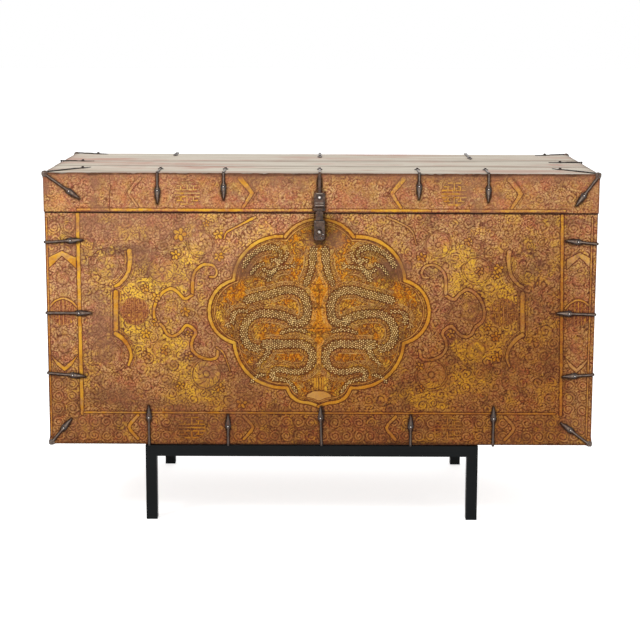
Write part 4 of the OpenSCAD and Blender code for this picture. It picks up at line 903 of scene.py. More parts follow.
# Ovals in the medallion: distance from its middle, height and two radii, and for the dark spots an amount
ORANGE_FILLS = (
    (55, 416, 20, 15), (31, 444, 14, 13), (48, 394, 17, 10), (67, 333, 23, 11), (121, 257, 15, 12),
    (72, 206, 37, 16), (79, 257, 30, 13), (183, 356, 20, 17), (207, 335, 13, 20), (179, 296, 9, 14),
    (172, 222, 8, 20), (48, 148, 14, 10), (121, 155, 14, 7), (62, 477, 17, 9), (96, 426, 15, 10),
    (141, 423, 20, 7),
)
SOOT_SPOTS = (
    (160, 405, 34, 26, 0.66), (135, 440, 36, 16, 0.42), (110, 395, 26, 12, 0.3), (140, 165, 30, 16, 0.45),
    (185, 250, 14, 30, 0.35),
)


def gilt_band(sheet, line, half, strength=1.0, taper=None, beside=()):
    """A gilt line in a dark outline, with a finer line beside it on the sides asked for."""
    for side in beside:
        sheet.stroke(offset_line(line, side * (half + 5.0)), 1.3, 0.9, groove=1.4, gilt=0.45 * strength)
    sheet.stroke(line, half, 0.9, taper=taper, groove=2.3, flat=0.25, gilt=strength)


def directions(line):
    """The way a line runs at each of its points, and the way to its left."""
    run = np.gradient(line, axis=0)
    run /= np.maximum(np.hypot(run[:, 0], run[:, 1]), 1e-6)[:, None]
    return run, np.stack([-run[:, 1], run[:, 0]], 1)


def offset_line(line, away):
    """A line moved sideways by a distance, for the echoes round a body."""
    return line + away * directions(line)[1]


def fins(sheet, line, half):
    """Short slanted tongues down both sides of a beast's body."""
    steps = np.concatenate([[0], np.cumsum(np.hypot(*np.diff(line, axis=0).T))])
    runs, lefts = directions(line)
    for s in np.arange(6, steps[-1] - 4, 8.5):
        i = int(np.searchsorted(steps, s))
        along, across = runs[i], lefts[i]
        for side in (-1, 1):
            root = line[i] + side * (half + 1.5) * across
            bend = root + side * 3 * across + 1.5 * along
            tip = root + side * 5.5 * across + 5 * along
            sheet.stroke([root, bend, tip], 1.9, 0.8, taper=0.8, groove=1.2, gilt=0.35, pale=0.3)


def flames(sheet, outline, draw, count, taken):
    """Small curling tongues between the bodies, gold, orange and pale."""
    for _ in range(count):
        x, z = draw.uniform(20, 235), draw.uniform(110, 500)
        if np.hypot(taken[:, 0] - x, taken[:, 1] - z).min() < 13:
            continue
        turn, size, bend = draw.uniform(0, 2 * math.pi), draw.uniform(8, 15), draw.choice([-1, 1])
        angle = turn + bend * 2.6 * np.linspace(0, 1, 9)
        across, up = size * np.cumsum(np.cos(angle)) / 9, size * 1.3 * np.cumsum(np.sin(angle)) / 9
        line = np.stack([x + across, z + up], 1)
        kind = draw.random()
        half, paints = 2.6, {"orange": 0.9}
        if kind > 0.5:
            half, paints = 1.5, {"pale": 0.25, "soot": 0.2}
        elif kind < 0.25:
            paints = {"gilt": 0.7}
        for side in (-1, 1):
            place = from_middle(line, side)
            if point_inside(outline, place.mean(0)):
                sheet.stroke(place, half, 0.9, taper=1.0, groove=1.3, **paints)


def point_inside(outline, point):
    """Whether a point lies inside a closed outline."""
    odd = False
    for (ax, az), (bx, bz) in zip(outline[:-1], outline[1:]):
        if (az > point[1]) != (bz > point[1]) and point[0] < ax + (point[1] - az) * (bx - ax) / (bz - az):
            odd = not odd
    return odd


def draw_medallion(sheet, settings):
    """The lobed medallion with two facing beaded beasts round a jewelled column."""
    shape = sheet.rise.shape
    outline = medallion_outline()
    where, out = sheet.inside(outline)
    inner = 1 - ease(-3, 0, out)
    sheet.umber[where] = 1 - ease(5, 8, out)
    sway = [(cloudy(shape, 78 + k, ((8, 1.0), (4, 0.8))) - 0.5) * 9 for k in (0, 1)]
    fine, fine_tone, _ = leaf_buds(sheet, 77, 5.0, sway)
    sheet.blend("rise", where, inner, 0.8 * fine[where])
    sheet.blend("tone", where, inner, 0.8 * fine_tone[where] ** 2)
    sheet.blend("warm", where, inner, 0.85)
    sheet.blend("fleck", where, inner, 0.35)
    clouds = cloudy(shape, 61, ((26, 1.0), (11, 0.7)))
    sheet.deepen("soot", 0.34 * inner * ease(0.5, 0.7, clouds[where]), where)
    bodies = [curve(points, 6) for points, _, _ in SCALED_BODIES]
    for side in (-1, 1):
        for x, z, rx, rz in ORANGE_FILLS:
            sheet.blot(MIDDLE_X + side * x, z, 1.1 * rx, 1.1 * rz, 0.3, orange=1.0, fleck=0.3)
    flames(sheet, outline, np.random.default_rng(64), 900, np.vstack(bodies))
    for side in (-1, 1):
        draw_beast(sheet, side, [from_middle(line, side) for line in bodies])
    draw_column(sheet, fine, cloudy(shape, 66, ((7, 1.0), (3, 0.9))))
    draw_frame(sheet, outline, 0.75 * settings.band_rise / MM)
    for side in (-1, 1):
        for x, z, rx, rz, amount in SOOT_SPOTS:
            sheet.blot(MIDDLE_X + side * x, z, rx, rz, 0.5, soot=amount * (0.75 if side > 0 else 0.6))
    # Painted shade and dirt round the lower end of the hasp
    sheet.blot(4, 497, 42, 36, 0.6, soot=0.7)


def draw_beast(sheet, side, bodies):
    """One beast: pale echoes round its bodies, then fins, then the dark bodies, then its claws."""
    for line, (_, half, _) in zip(bodies, SCALED_BODIES):
        for away in (half + 3.4, half + 6.6, half + 9.8):
            for way in (-1, 1):
                sheet.stroke(offset_line(line, way * away), 0.9, 1.2, groove=0.8, pale=0.5)
    for away in (14.5, 18, 21.5, 25):
        sheet.mark(offset_line(bodies[2][16:], side * away), 0.8, 0.6)
    for line, (_, half, _) in zip(bodies, SCALED_BODIES):
        fins(sheet, line, half)
    for line, (_, half, end) in zip(bodies, SCALED_BODIES):
        sheet.stroke(line, half + 0.6, 0.55, taper=end + 0.4, groove=1.0, soot=0.55, seam=0.08)
    for x, z, turned in CLAWS:
        for spread in (-0.7, 0.0, 0.7):
            angle = math.radians(turned) + spread
            turn = [[math.cos(angle), math.sin(angle)], [-math.sin(angle), math.cos(angle)]]
            claw = np.array([(0, 0), (6, 1.5), (11, 0)]) @ turn + (x, z)
            sheet.stroke(from_middle(claw, side), 2.2, 0.9, taper=0.9, groove=1.4, pale=0.8)


def draw_column(sheet, fine, glints):
    """The orange column in the medallion's middle, with the short gold bars and the eye under it."""
    where, out = sheet.inside(np.vstack([from_middle(COLUMN, 1), from_middle(COLUMN[::-1], -1)]))
    body = 1 - ease(-1, 0.6, out)
    edge = np.exp(-((out - 1.4) / 1.2) ** 2)
    glints = glints[where]
    sheet.blend("rise", where, body, 0.15 + 0.9 * fine[where])
    sheet.deepen("orange", 0.9 * body, where)
    sheet.worn[where] *= 1 - body
    for name, amount in (
        ("line", 0.8 * edge),
        ("fleck", body * ease(0.5, 0.66, glints)),
        ("soot", 0.75 * body * (1 - ease(0.34, 0.46, glints))),
    ):
        getattr(sheet, name)[where] *= 1 - body
        sheet.deepen(name, amount, where)
    for line in COLUMN_LINES:
        sheet.mark(from_middle(line, 1), 0.9, 0.7)
    for x in (-9, -3, 3, 9):
        sheet.stroke([(MIDDLE_X + x, 155), (MIDDLE_X + x, 130)], 1.9, 1.0, groove=1.2, gilt=0.95)
    eye = circle_points(0, 0, 1, 36) * (29, 14) + (MIDDLE_X, 112)
    sheet.area(eye, 1.0, edge=4, gilt=0.35, pale=0.45, orange=0.3)


def draw_frame(sheet, outline, rise):
    """The medallion's gilt band, brighter on its left, with a finer line inside it."""
    inset = np.array([(x * 0.95 + MIDDLE_X * 0.05, 308 + (z - 308) * 0.95) for x, z in outline])
    sheet.stroke(inset, 1.5, 0.8, groove=1.5, orange=0.5, pale=0.3)
    for side, gilt, orange in ((-1, 0.95, 0.0), (1, 0.62, 0.6)):
        half_line = from_middle(MEDALLION_HALF, side)
        sheet.stroke(half_line[9:], 3.7, rise, groove=2.6, flat=0.25, gilt=gilt, orange=orange, fleck=0.8)
        sheet.stroke(half_line[:11], 3.0, rise, taper=3.5, groove=2.2, flat=0.25,
                     gilt=0.8 * gilt, orange=orange)


# Lines on the left of the medallion, which the right side mirrors, and x, z, radius and petals of flowers
LEFT_FIELD = (
    (-456, 350), (-425, 372), (-400, 385), (-350, 372), (-300, 356), (-330, 352), (-372, 340), (-382, 310),
    (-376, 285), (-352, 262), (-320, 250), (-300, 232), (-330, 196), (-380, 190), (-425, 205), (-436, 236),
    (-458, 256),
)
LEFT_CLOUD = (
    (-290, 347), (-308, 338), (-322, 352), (-338, 361), (-357, 352), (-371, 333), (-378, 310), (-374, 289),
    (-358, 274), (-349, 258), (-335, 252), (-318, 262), (-304, 277), (-288, 268), (-284, 258), (-291, 244),
    (-293, 225), (-282, 209), (-259, 199), (-238, 202), (-233, 220),
)
LEFT_ROSETTES = (
    (-271, 463, 30, 8), (-359, 405, 32, 10), (-260, 164, 36, 10), (-360, 221, 20, 8), (-345, 312, 20, 8),
)
LEFT_HOOK = (
    (-290, 352), (-289, 384), (-282, 403), (-263, 416), (-244, 414), (-235, 401), (-239, 389), (-250, 388),
)


def draw_cartouche(sheet, turn, strength):
    """The bracket, fret and cloud line beside the medallion. `turn` sets it on the left or mirrors it."""
    sheet.tint(turn(LEFT_FIELD), 6, fleck=0.82, warm=0.5)
    for x, z, r in ((-480, 410, 43), (-479, 209, 43)):
        sheet.mark(turn(circle_points(x, z, r)), 0.9, 0.25 + 0.35 * strength)
        if strength > 0.5:
            rosette(sheet, *turn([(x, z)])[0], 0.62 * r, 9, 0.3)
    gilt_band(sheet, turn([(-463, 352), (-464, 300), (-465, 255)]), 5.2, strength, beside=(-1, 1))
    upper = turn(curve([(-431, 446), (-430, 425), (-436, 395), (-452, 374), (-464, 366)]))
    lower = turn(curve([(-465, 257), (-449, 245), (-436, 226), (-431, 205), (-437, 184)]))
    out = 1 if upper[0][0] > upper[-1][0] else -1
    gilt_band(sheet, upper, 5.4, strength, 3.0, beside=(-out, out))
    gilt_band(sheet, lower, 5.0, strength, 2.6, beside=(out,))
    fret_roundel(sheet, *turn([(-421, 309)])[0], 31, {"gilt": 0.35}, upright=True, red=0.85 * strength)
    gilt_band(sheet, turn(curve(LEFT_CLOUD, 6)), 3.4, 0.9 * strength)
    gilt_band(sheet, turn(curve(LEFT_HOOK, 6)), 3.6, 0.9 * strength, 2.2)
    for x, z, r, petals in LEFT_ROSETTES:
        rosette(sheet, *turn([(x, z)])[0], r, petals, 0.35)


# Small gold flowers among the scrolls, with their radii and how bright they are
FLOWERS = (
    (-318, 484, 11, 0.9), (-231, 484, 8, 1.0), (-230, 434, 8, 1.0), (-328, 438, 8, 0.7),
    (-374, 340, 8, 0.8),
    (-398, 361, 7, 0.9), (-307, 307, 8, 0.9), (-373, 283, 7, 0.7), (-397, 257, 8, 1.0), (-353, 219, 8, 0.8),
    (-397, 207, 7, 0.8), (-300, 206, 7, 0.7), (-229, 132, 8, 0.9), (-298, 257, 6, 0.7), (-258, 509, 6, 0.8),
    (-320, 137, 7, 0.6), (-181, 96, 9, 0.6), (226, 434, 8, 0.6), (357, 403, 7, 0.4), (393, 394, 7, 0.6),
    (400, 409, 8, 0.6), (296, 259, 7, 0.5), (377, 275, 7, 0.6), (396, 253, 8, 0.6), (225, 183, 7, 0.5),
    (227, 132, 7, 0.5), (400, 204, 8, 0.6), (330, 470, 7, 0.35),
)


def draw_flowers(sheet):
    """Loose five-petalled flowers, and the faint gold curves over the medallion's shoulders."""
    draw = np.random.default_rng(29)
    for x, z, r, strength in FLOWERS:
        turn = draw.uniform(0, 1.2)
        for k in range(5):
            angle = turn + 2 * math.pi * k / 5 + draw.normal(0, 0.12)
            across, up = r * math.cos(angle), r * math.sin(angle)
            tips = [(x + reach * across, z + reach * up) for reach in (0.45, 1.05)]
            sheet.stroke(tips, 0.4 * r, 1.2, taper=0.36 * r, groove=2.0, gilt=0.3 + 0.75 * strength)
    for line, half, rise, taper, gilt in (
        ([(-148, 524), (-181, 506), (-211, 490), (-218, 475)], 2.8, 1.0, 1.6, 0.8),
        ([(148, 524), (180, 510), (203, 494), (214, 464)], 2.6, 1.0, 1.4, 0.35),
        ([(-236, 226), (-222, 214), (-212, 190), (-206, 170)], 2.2, 0.9, 1.0, 0.45),
    ):
        sheet.stroke(curve(line), half, rise, taper=taper, gilt=gilt)


def draw_side_band(sheet, side, middle, half):
    """The upright band outside a gilt line: an arch, a fret and a pointed foot."""
    def at(*points):
        """Points across the band, from -1 to 1 between its wings, put in their place."""
        p = np.array(points, float)
        return np.stack([middle + side * wing * p[:, 0], p[:, 1]], 1)

    wing = half * 0.86
    strength = 0.95 if side < 0 else 0.3
    arch = at((-1, 407), (-1, 431), (0, 446), (1, 431), (1, 407), (0.5, 421), (0, 435), (-0.5, 421))
    sheet.area(arch, 1.2, edge=2, gilt=strength)
    for z, r in ((385, 14), (352, 12), (240, 13), (226, 12)):
        rosette(sheet, middle, z, r, 6, 0.4)
    fret_roundel(sheet, middle, 306, half * 0.82, {"gilt": 0.6}, upright=True, red=0.7)
    sheet.stroke(curve(at((-1, 318), (-0.6, 331), (0, 338), (0.6, 331), (1, 318))), 2.2, 1.1, gilt=0.6)
    foot = at((-1, 208), (-0.55, 184), (0, 170), (0.55, 184), (1, 208), (0.62, 196), (0, 180), (-0.62, 196))
    sheet.area(foot, 1.2, edge=2, gilt=strength)
    for z in (140, 112, 84, 500, 470):
        for dx in (-half * 0.45, half * 0.45):
            scroll_disc(sheet, middle + dx, z, half * 0.42, 1 if dx > 0 else -1)


def scroll_disc(sheet, x, z, r, hand, pitch=6.0, tone=0.4):
    """One round scroll of a border."""
    where, d, angle = sheet.around(x, z, r + 2, 3)
    turns = d / pitch - hand * angle / (2 * math.pi) + 0.1
    line = 0.5 + 0.5 * np.cos(2 * math.pi * turns)
    line = np.where(d < 2.5, 1.0, line)
    share = 1 - ease(r - 0.8, r + 0.8, d)
    sheet.blend("rise", where, share, 0.85 * line + 0.2 * sheet.rise[where])
    sheet.blend("tone", where, share, tone * line)
    sheet.deepen("line", 0.4 * np.exp(-((d - r) / 1.1) ** 2), where)


def draw_base_border(sheet):
    """Pairs of scrolls along the foot of the front, with frets and brackets."""
    x = -600.0
    while x < 604:
        clear = all(abs(abs(x) - place) > reach for place, reach in ((294, 36), (150, 16), (440, 16)))
        if clear:
            for z, hand in ((52, 1), (20, -1)):
                scroll_disc(sheet, x, z, 13.5, hand if int(x / 27) % 2 else -hand)
        x += 27.5
    for place, gilt in ((-295, 0.95), (291, 0.6)):
        fret_roundel(sheet, place, 39, 31, {"gilt": gilt}, squash=0.88, half=1.5)
    for tip, way, strength in ((-439, 1, 0.8), (-155, -1, 0.6), (151, 1, 0.55), (443, -1, 0.5)):
        bracket = [(tip + way * across, z) for across, z in ((21, 66), (4, 48), (0, 40), (4, 31), (21, 12))]
        sheet.stroke(bracket, 3.6, 1.2, gilt=strength)


def shadow_and_grime(sheet, start, way, length, half=3.4, amount=0.85):
    """Painted shadow and dirt along an iron arm that runs from a point, at an angle in degrees."""
    end = (start[0] + length * math.cos(math.radians(way)), start[1] + length * math.sin(math.radians(way)))
    # A crisp dark line of painted shadow, set a little below the arm, and a soft dark halo of painted shade
    # and dirt round it
    where, far, along = sheet.near(np.array([start, end], float) - (0, 1.4), half + 10)
    leaf = ease(length - 42, length - 30, along * length) * (1 - ease(length - 14, length, along * length))
    reach = half + 3.4 * leaf + sheet.ragged[where]
    sheet.deepen("seam", amount * (1 - ease(reach - 1, reach + 2.2, far)), where)
    sheet.deepen("soot", 0.5 * amount * (1 - ease(reach, reach + 8, far)), where)


# Ovals on the front where it is rubbed, stained or still bright, as x, z, two radii and an amount
WORN_SPOTS = (
    (-440, 505, 150, 40, 0.5), (-180, 408, 34, 26, 0.75), (-160, 440, 30, 18, 0.5), (160, 408, 44, 26, 0.9),
    (30, 470, 26, 24, 0.8), (-20, 470, 22, 24, 0.6), (-500, 270, 34, 80, 0.45), (-330, 392, 60, 22, 0.35),
    (-450, 112, 60, 26, 0.45), (-300, 500, 90, 26, 0.35), (-260, 150, 26, 40, 0.3), (-530, 40, 60, 30, 0.3),
    (560, 40, 60, 26, 0.35), (-395, 420, 20, 16, 0.5),
)
STAIN_SPOTS = (
    (-395, 418, 30, 22, 0.8), (-455, 250, 30, 40, 0.6), (-500, 345, 40, 18, 0.5), (-445, 449, 95, 15, 0.85),
    (-250, 132, 26, 26, 0.7), (-505, 110, 40, 20, 0.6), (-380, 95, 60, 14, 0.5), (-300, 300, 18, 16, 0.35),
    (-550, 515, 90, 12, 0.5), (560, 515, 70, 10, 0.4), (-430, 96, 30, 18, 0.5),
)
BRIGHT_SPOTS = (
    (-300, 448, 34, 18), (-318, 404, 30, 24), (-238, 112, 30, 26), (-290, 128, 60, 26), (-310, 170, 40, 26),
    (300, 440, 40, 30), (330, 380, 46, 34), (250, 120, 60, 24), (330, 150, 60, 30), (255, 96, 30, 14),
    (-390, 365, 36, 16), (380, 362, 44, 20),
)


def smear(sheet, name, spots, low, high, ragged):
    """Lays one paint in ovals that fade from low to high, with a ragged rim."""
    for x, z, rx, rz, amount in spots:
        where, q = sheet.oval(x, z, rx, rz, 2)
        sheet.deepen(name, (1 - ease(low, high, q + ragged[where])) * amount, where)


def wear_front(sheet):
    """Where the front is rubbed, stained or still bright."""
    shape = sheet.rise.shape
    clouds = cloudy(shape, 5, ((90, 1.0), (34, 0.7), (12, 0.4)))
    sheet.warm[:] = np.clip(sheet.warm + 0.5 + 1.3 * (clouds - 0.5) + 0.22 * sheet.grid_x / BODY_HALF
                            - 0.28 * (sheet.grid_z - 260) / 260, 0, 1)
    gleams = cloudy(shape, 17, ((28, 1.0), (10, 0.8), (5, 0.6)))
    kept = sheet.fleck * (0.55 + 0.9 * ease(0.35, 0.65, gleams))
    sheet.fleck[:] = np.clip(kept + 0.5 * ease(0.52, 0.7, gleams), 0, 1)
    # Darker and browner towards the bottom and the right, less on the right band
    sheet.age[:] = np.clip(1.1 - 1.1 * sheet.grid_z / BODY_TALL + 0.42 * sheet.grid_x / BODY_HALF
                           + 0.3 * (clouds - 0.5), 0, 0.9) - 0.28 * ease(545, 575, sheet.grid_x)
    patches = cloudy(shape, 9, ((60, 1.0), (22, 0.6), (8, 0.4)))
    smear(sheet, "worn", WORN_SPOTS, 0.4, 1.3, 0.8 * (patches - 0.5))
    sheet.deepen("worn", 0.35 * ease(0.62, 0.8, patches))
    stains = cloudy(shape, 19, ((46, 1.0), (16, 0.8), (6, 0.6)))
    sheet.stain[:] = 0.55 * ease(0.54, 0.72, stains)
    smear(sheet, "stain", STAIN_SPOTS, 0.3, 1.4, 1.1 * (stains - 0.5))
    edge = np.minimum(np.minimum(sheet.grid_x + BODY_HALF, BODY_HALF - sheet.grid_x), sheet.grid_z)
    sheet.deepen("line", 0.75 * (1 - ease(0.5, 4.5, edge + 2 * (patches - 0.5))))
    fading = cloudy(shape, 15, ((40, 1.0), (16, 0.8), (7, 0.5)))
    keep = 0.62 - 0.3 * sheet.umber
    sheet.gilt *= keep + (1 - keep) * ease(0.4, 0.56, fading)
    sheet.deepen("seam", ease(BODY_TALL - 3.4, BODY_TALL - 1.6, sheet.grid_z))
    sheet.deepen("soot", 0.85 * (1 - ease(1, 10, sheet.grid_z + 9 * (patches - 0.5))))
    sheet.rise *= 1 - 0.45 * sheet.worn
    sheet.gilt *= 1 - 0.5 * sheet.worn


def scroll_sheet(half, tall, settings, seeds, sizes, tries):
    """A sheet covered with scrollwork, ready for its ornament."""
    sheet = GessoSheet(-half, half, tall, settings.cell / MM)
    circles = packed_circles(np.random.default_rng(seeds[0]), half, tall, sizes, tries)
    scroll_ground(sheet, seeds[1], circles, settings.scroll_pitch / MM, settings.ground_rise / MM)
    return sheet


def front_sheet(settings):
    """The whole front of the body, drawn from its ground to its wear and the painted shadow and dirt along
    the iron.
    """
    sheet = scroll_sheet(BODY_HALF, BODY_TALL, settings, (3, 11), (15.5, 13.5, 12, 10.5, 9.5, 8.5), 1500)
    for x, z, rx, rz in BRIGHT_SPOTS:
        sheet.blot(x, z, rx, rz, 0.6, fleck=0.8, warm=0.4)
    draw_cartouche(sheet, lambda points: np.array(points, float), 1.0)
    draw_cartouche(sheet, mirrored, 0.4)
    draw_medallion(sheet, settings)
    draw_side_band(sheet, -1, -583, 36)
    draw_side_band(sheet, 1, 582, 34)
    draw_base_border(sheet)
    gilt_band(sheet, np.array(CHEST_LEFT_LINE, float), 3.9)
    sheet.stroke(CHEST_RIGHT_LINE, 3.4, 0.9, groove=2.3, flat=0.25, gilt=0.5, orange=0.4)
    sheet.stroke([(-540, 74), (20, 74)], 2.2, 1.2, gilt=0.8)
    sheet.stroke([(0, 74), (536, 74)], 2.2, 1.1, gilt=0.42, orange=0.35)
    sheet.stroke([(609, 20), (608, 524)], 1.8, 0.9, gilt=0.45)
    sheet.stroke([(-616, 20), (-616, 520)], 1.8, 0.9, gilt=0.4, orange=0.5)
    wear_front(sheet)
    sheet.age *= 1 - 0.3 * sheet.umber
    draw_flowers(sheet)
    # Painted shadow and dirt along the edge cleats, the corner arms and the base cleats
    for side in (-1, 1):
        for rise, slope, length in EDGE_CLEATS[side]:
            shadow_and_grime(sheet, (side * BODY_HALF, rise), 90 + side * (90 - slope), length)
        across, up = BASE_ARM[side]
        way = math.degrees(math.atan2(up, -side * across))
        shadow_and_grime(sheet, (side * BODY_HALF, 0), way, math.hypot(across, up))
    for x, up in zip(BASE_CLEAT_X, BASE_CLEAT_UP):
        shadow_and_grime(sheet, (x, 0), 90, up)
    # Painted shade and dirt round the hasp
    shadow_and_grime(sheet, (MIDDLE_X, BODY_TALL), -90, 60, half=13, amount=0.6)
    return sheet


def sheet_piece(sheet, name, columns, low, back, skin, body, replaces, ragged=0.0):
    """One upright part of a gesso sheet as a closed slab that faces the front."""
    part = (slice(None), columns)
    rise = sheet.rise[part]
    top = np.stack([sheet.grid_x[part], -(skin + rise), low + (sheet.grid_z - ragged)[part]], -1)
    weights = {key: getattr(sheet, key)[part] for key in GessoSheet.PAINTS}
    weights["relief"] = rise / GessoSheet.FULL_RISE
    slab(name, top, 1, -back, "look_gilded_gesso", body, replaces, weights)


class CHEST_OT_front_gesso(bpy.types.Operator):
    """Builds the raised and painted front of the body, in five upright parts"""

    bl_idname = "chest.front_gesso"
    bl_label = "Front gesso"

    CUTS = (-372, -124, 124, 372)

    def execute(self, context):
        settings = context.scene.chest_gesso
        sheet = front_sheet(settings)
        cuts = [0, *np.searchsorted(sheet.x, self.CUTS), len(sheet.x) - 1]
        for i in range(5):
            replaced = ("front_gesso", "front_relief") if i == 0 else ()
            sheet_piece(sheet, f"front_gesso_{i + 1}", slice(cuts[i], cuts[i + 1] + 1), BODY_LOW,
                        BODY_FRONT - 2, BODY_FRONT - 0.6, "chest", replaced)
        return {"FINISHED"}


# Beads: their spacing, their seat's distance from the wood, and radius and height of each ring of points
BEAD_PITCH = 4.95
BEAD_SEAT = BODY_FRONT + 0.15
BEAD_SIDES = 7
BEAD_RINGS = ((1.74, 0.0), (1.56, 0.6), (0.92, 0.95))
BEAD_TOP = 1.05


def bead_points(line, half_start, half_end):
    """Rows of beads across a curved body and its round ends, staggered like scales."""
    steps = np.hypot(*np.diff(line, axis=0).T)
    total = np.concatenate([[0], np.cumsum(steps)])
    made = []
    for k, s in enumerate(np.arange(1.5 - half_start, total[-1] + half_end - 1, BEAD_PITCH * 0.87)):
        i = min(max(np.searchsorted(total, s), 1), len(line) - 1)
        a, b = line[i - 1], line[i]
        t = (s - total[i - 1]) / max(total[i] - total[i - 1], 1e-6)
        spot, run = a + (b - a) * t, (b - a) / max(np.hypot(*(b - a)), 1e-6)
        side = np.array([-run[1], run[0]])
        half = half_start + (half_end - half_start) * np.clip(s / total[-1], 0, 1)
        past = max(-s, s - total[-1], 0)
        half = math.sqrt(max(half * half - past * past, 0)) - 0.8
        count = max(1, int(2 * half / BEAD_PITCH) + (k % 2))
        for j in range(count):
            offset = (j - (count - 1) / 2) * BEAD_PITCH
            if abs(offset) <= half:
                made.append(spot + side * offset)
    return made


def pairs_round(rows, sides):
    """Each point and the next one round it, in rows of points round a tube, knob or bead."""
    return [(row * sides + k, row * sides + (k + 1) % sides) for row in range(rows) for k in range(sides)]


class CHEST_OT_beads(bpy.types.Operator):
    """Sets the rows of pale beads on the two beasts of the medallion"""

    bl_idname = "chest.beads"
    bl_label = "Medallion beads"

    def execute(self, context):
        spots = []
        for side in (-1, 1):
            for points, half, end in SCALED_BODIES:
                spots.extend(bead_points(from_middle(curve(points, 6), side), half, end))
        draw = np.random.default_rng(21)
        points, faces, fans, caps = [], [], [], []
        for x, z in spots:
            first = len(points)
            size = 0.92 + 0.16 * draw.random()
            for r, up in BEAD_RINGS:
                for k in range(BEAD_SIDES):
                    angle = 2 * math.pi * k / BEAD_SIDES
                    points.append((x + size * r * math.cos(angle), -(BEAD_SEAT + up * size),
                                   BODY_LOW + z + size * r * math.sin(angle)))
            tip = len(points)
            points.append((x, -(BEAD_SEAT + BEAD_TOP * size), BODY_LOW + z))
            points.append((x, -BEAD_SEAT, BODY_LOW + z))
            for a, b in pairs_round(len(BEAD_RINGS) - 1, BEAD_SIDES):
                faces.append((first + a, first + b, first + b + BEAD_SIDES, first + a + BEAD_SIDES))
            for a, b in pairs_round(1, BEAD_SIDES):
                fans.append((tip - BEAD_SIDES + a, tip - BEAD_SIDES + b, tip))
                caps.append((first + b, first + a, tip + 1))
        count = len(points)
        weights = {key: np.zeros(count) for key in GessoSheet.PAINTS}
        weights["pale"] = np.full(count, 1.0)
        weights["relief"] = np.repeat(0.48 + 0.46 * draw.random(len(spots)), count // len(spots))
        add_piece("medallion_beads", points, [faces, fans + caps], "look_gilded_gesso", "chest",
                  (), weights)
        return {"FINISHED"}


# The lid's front

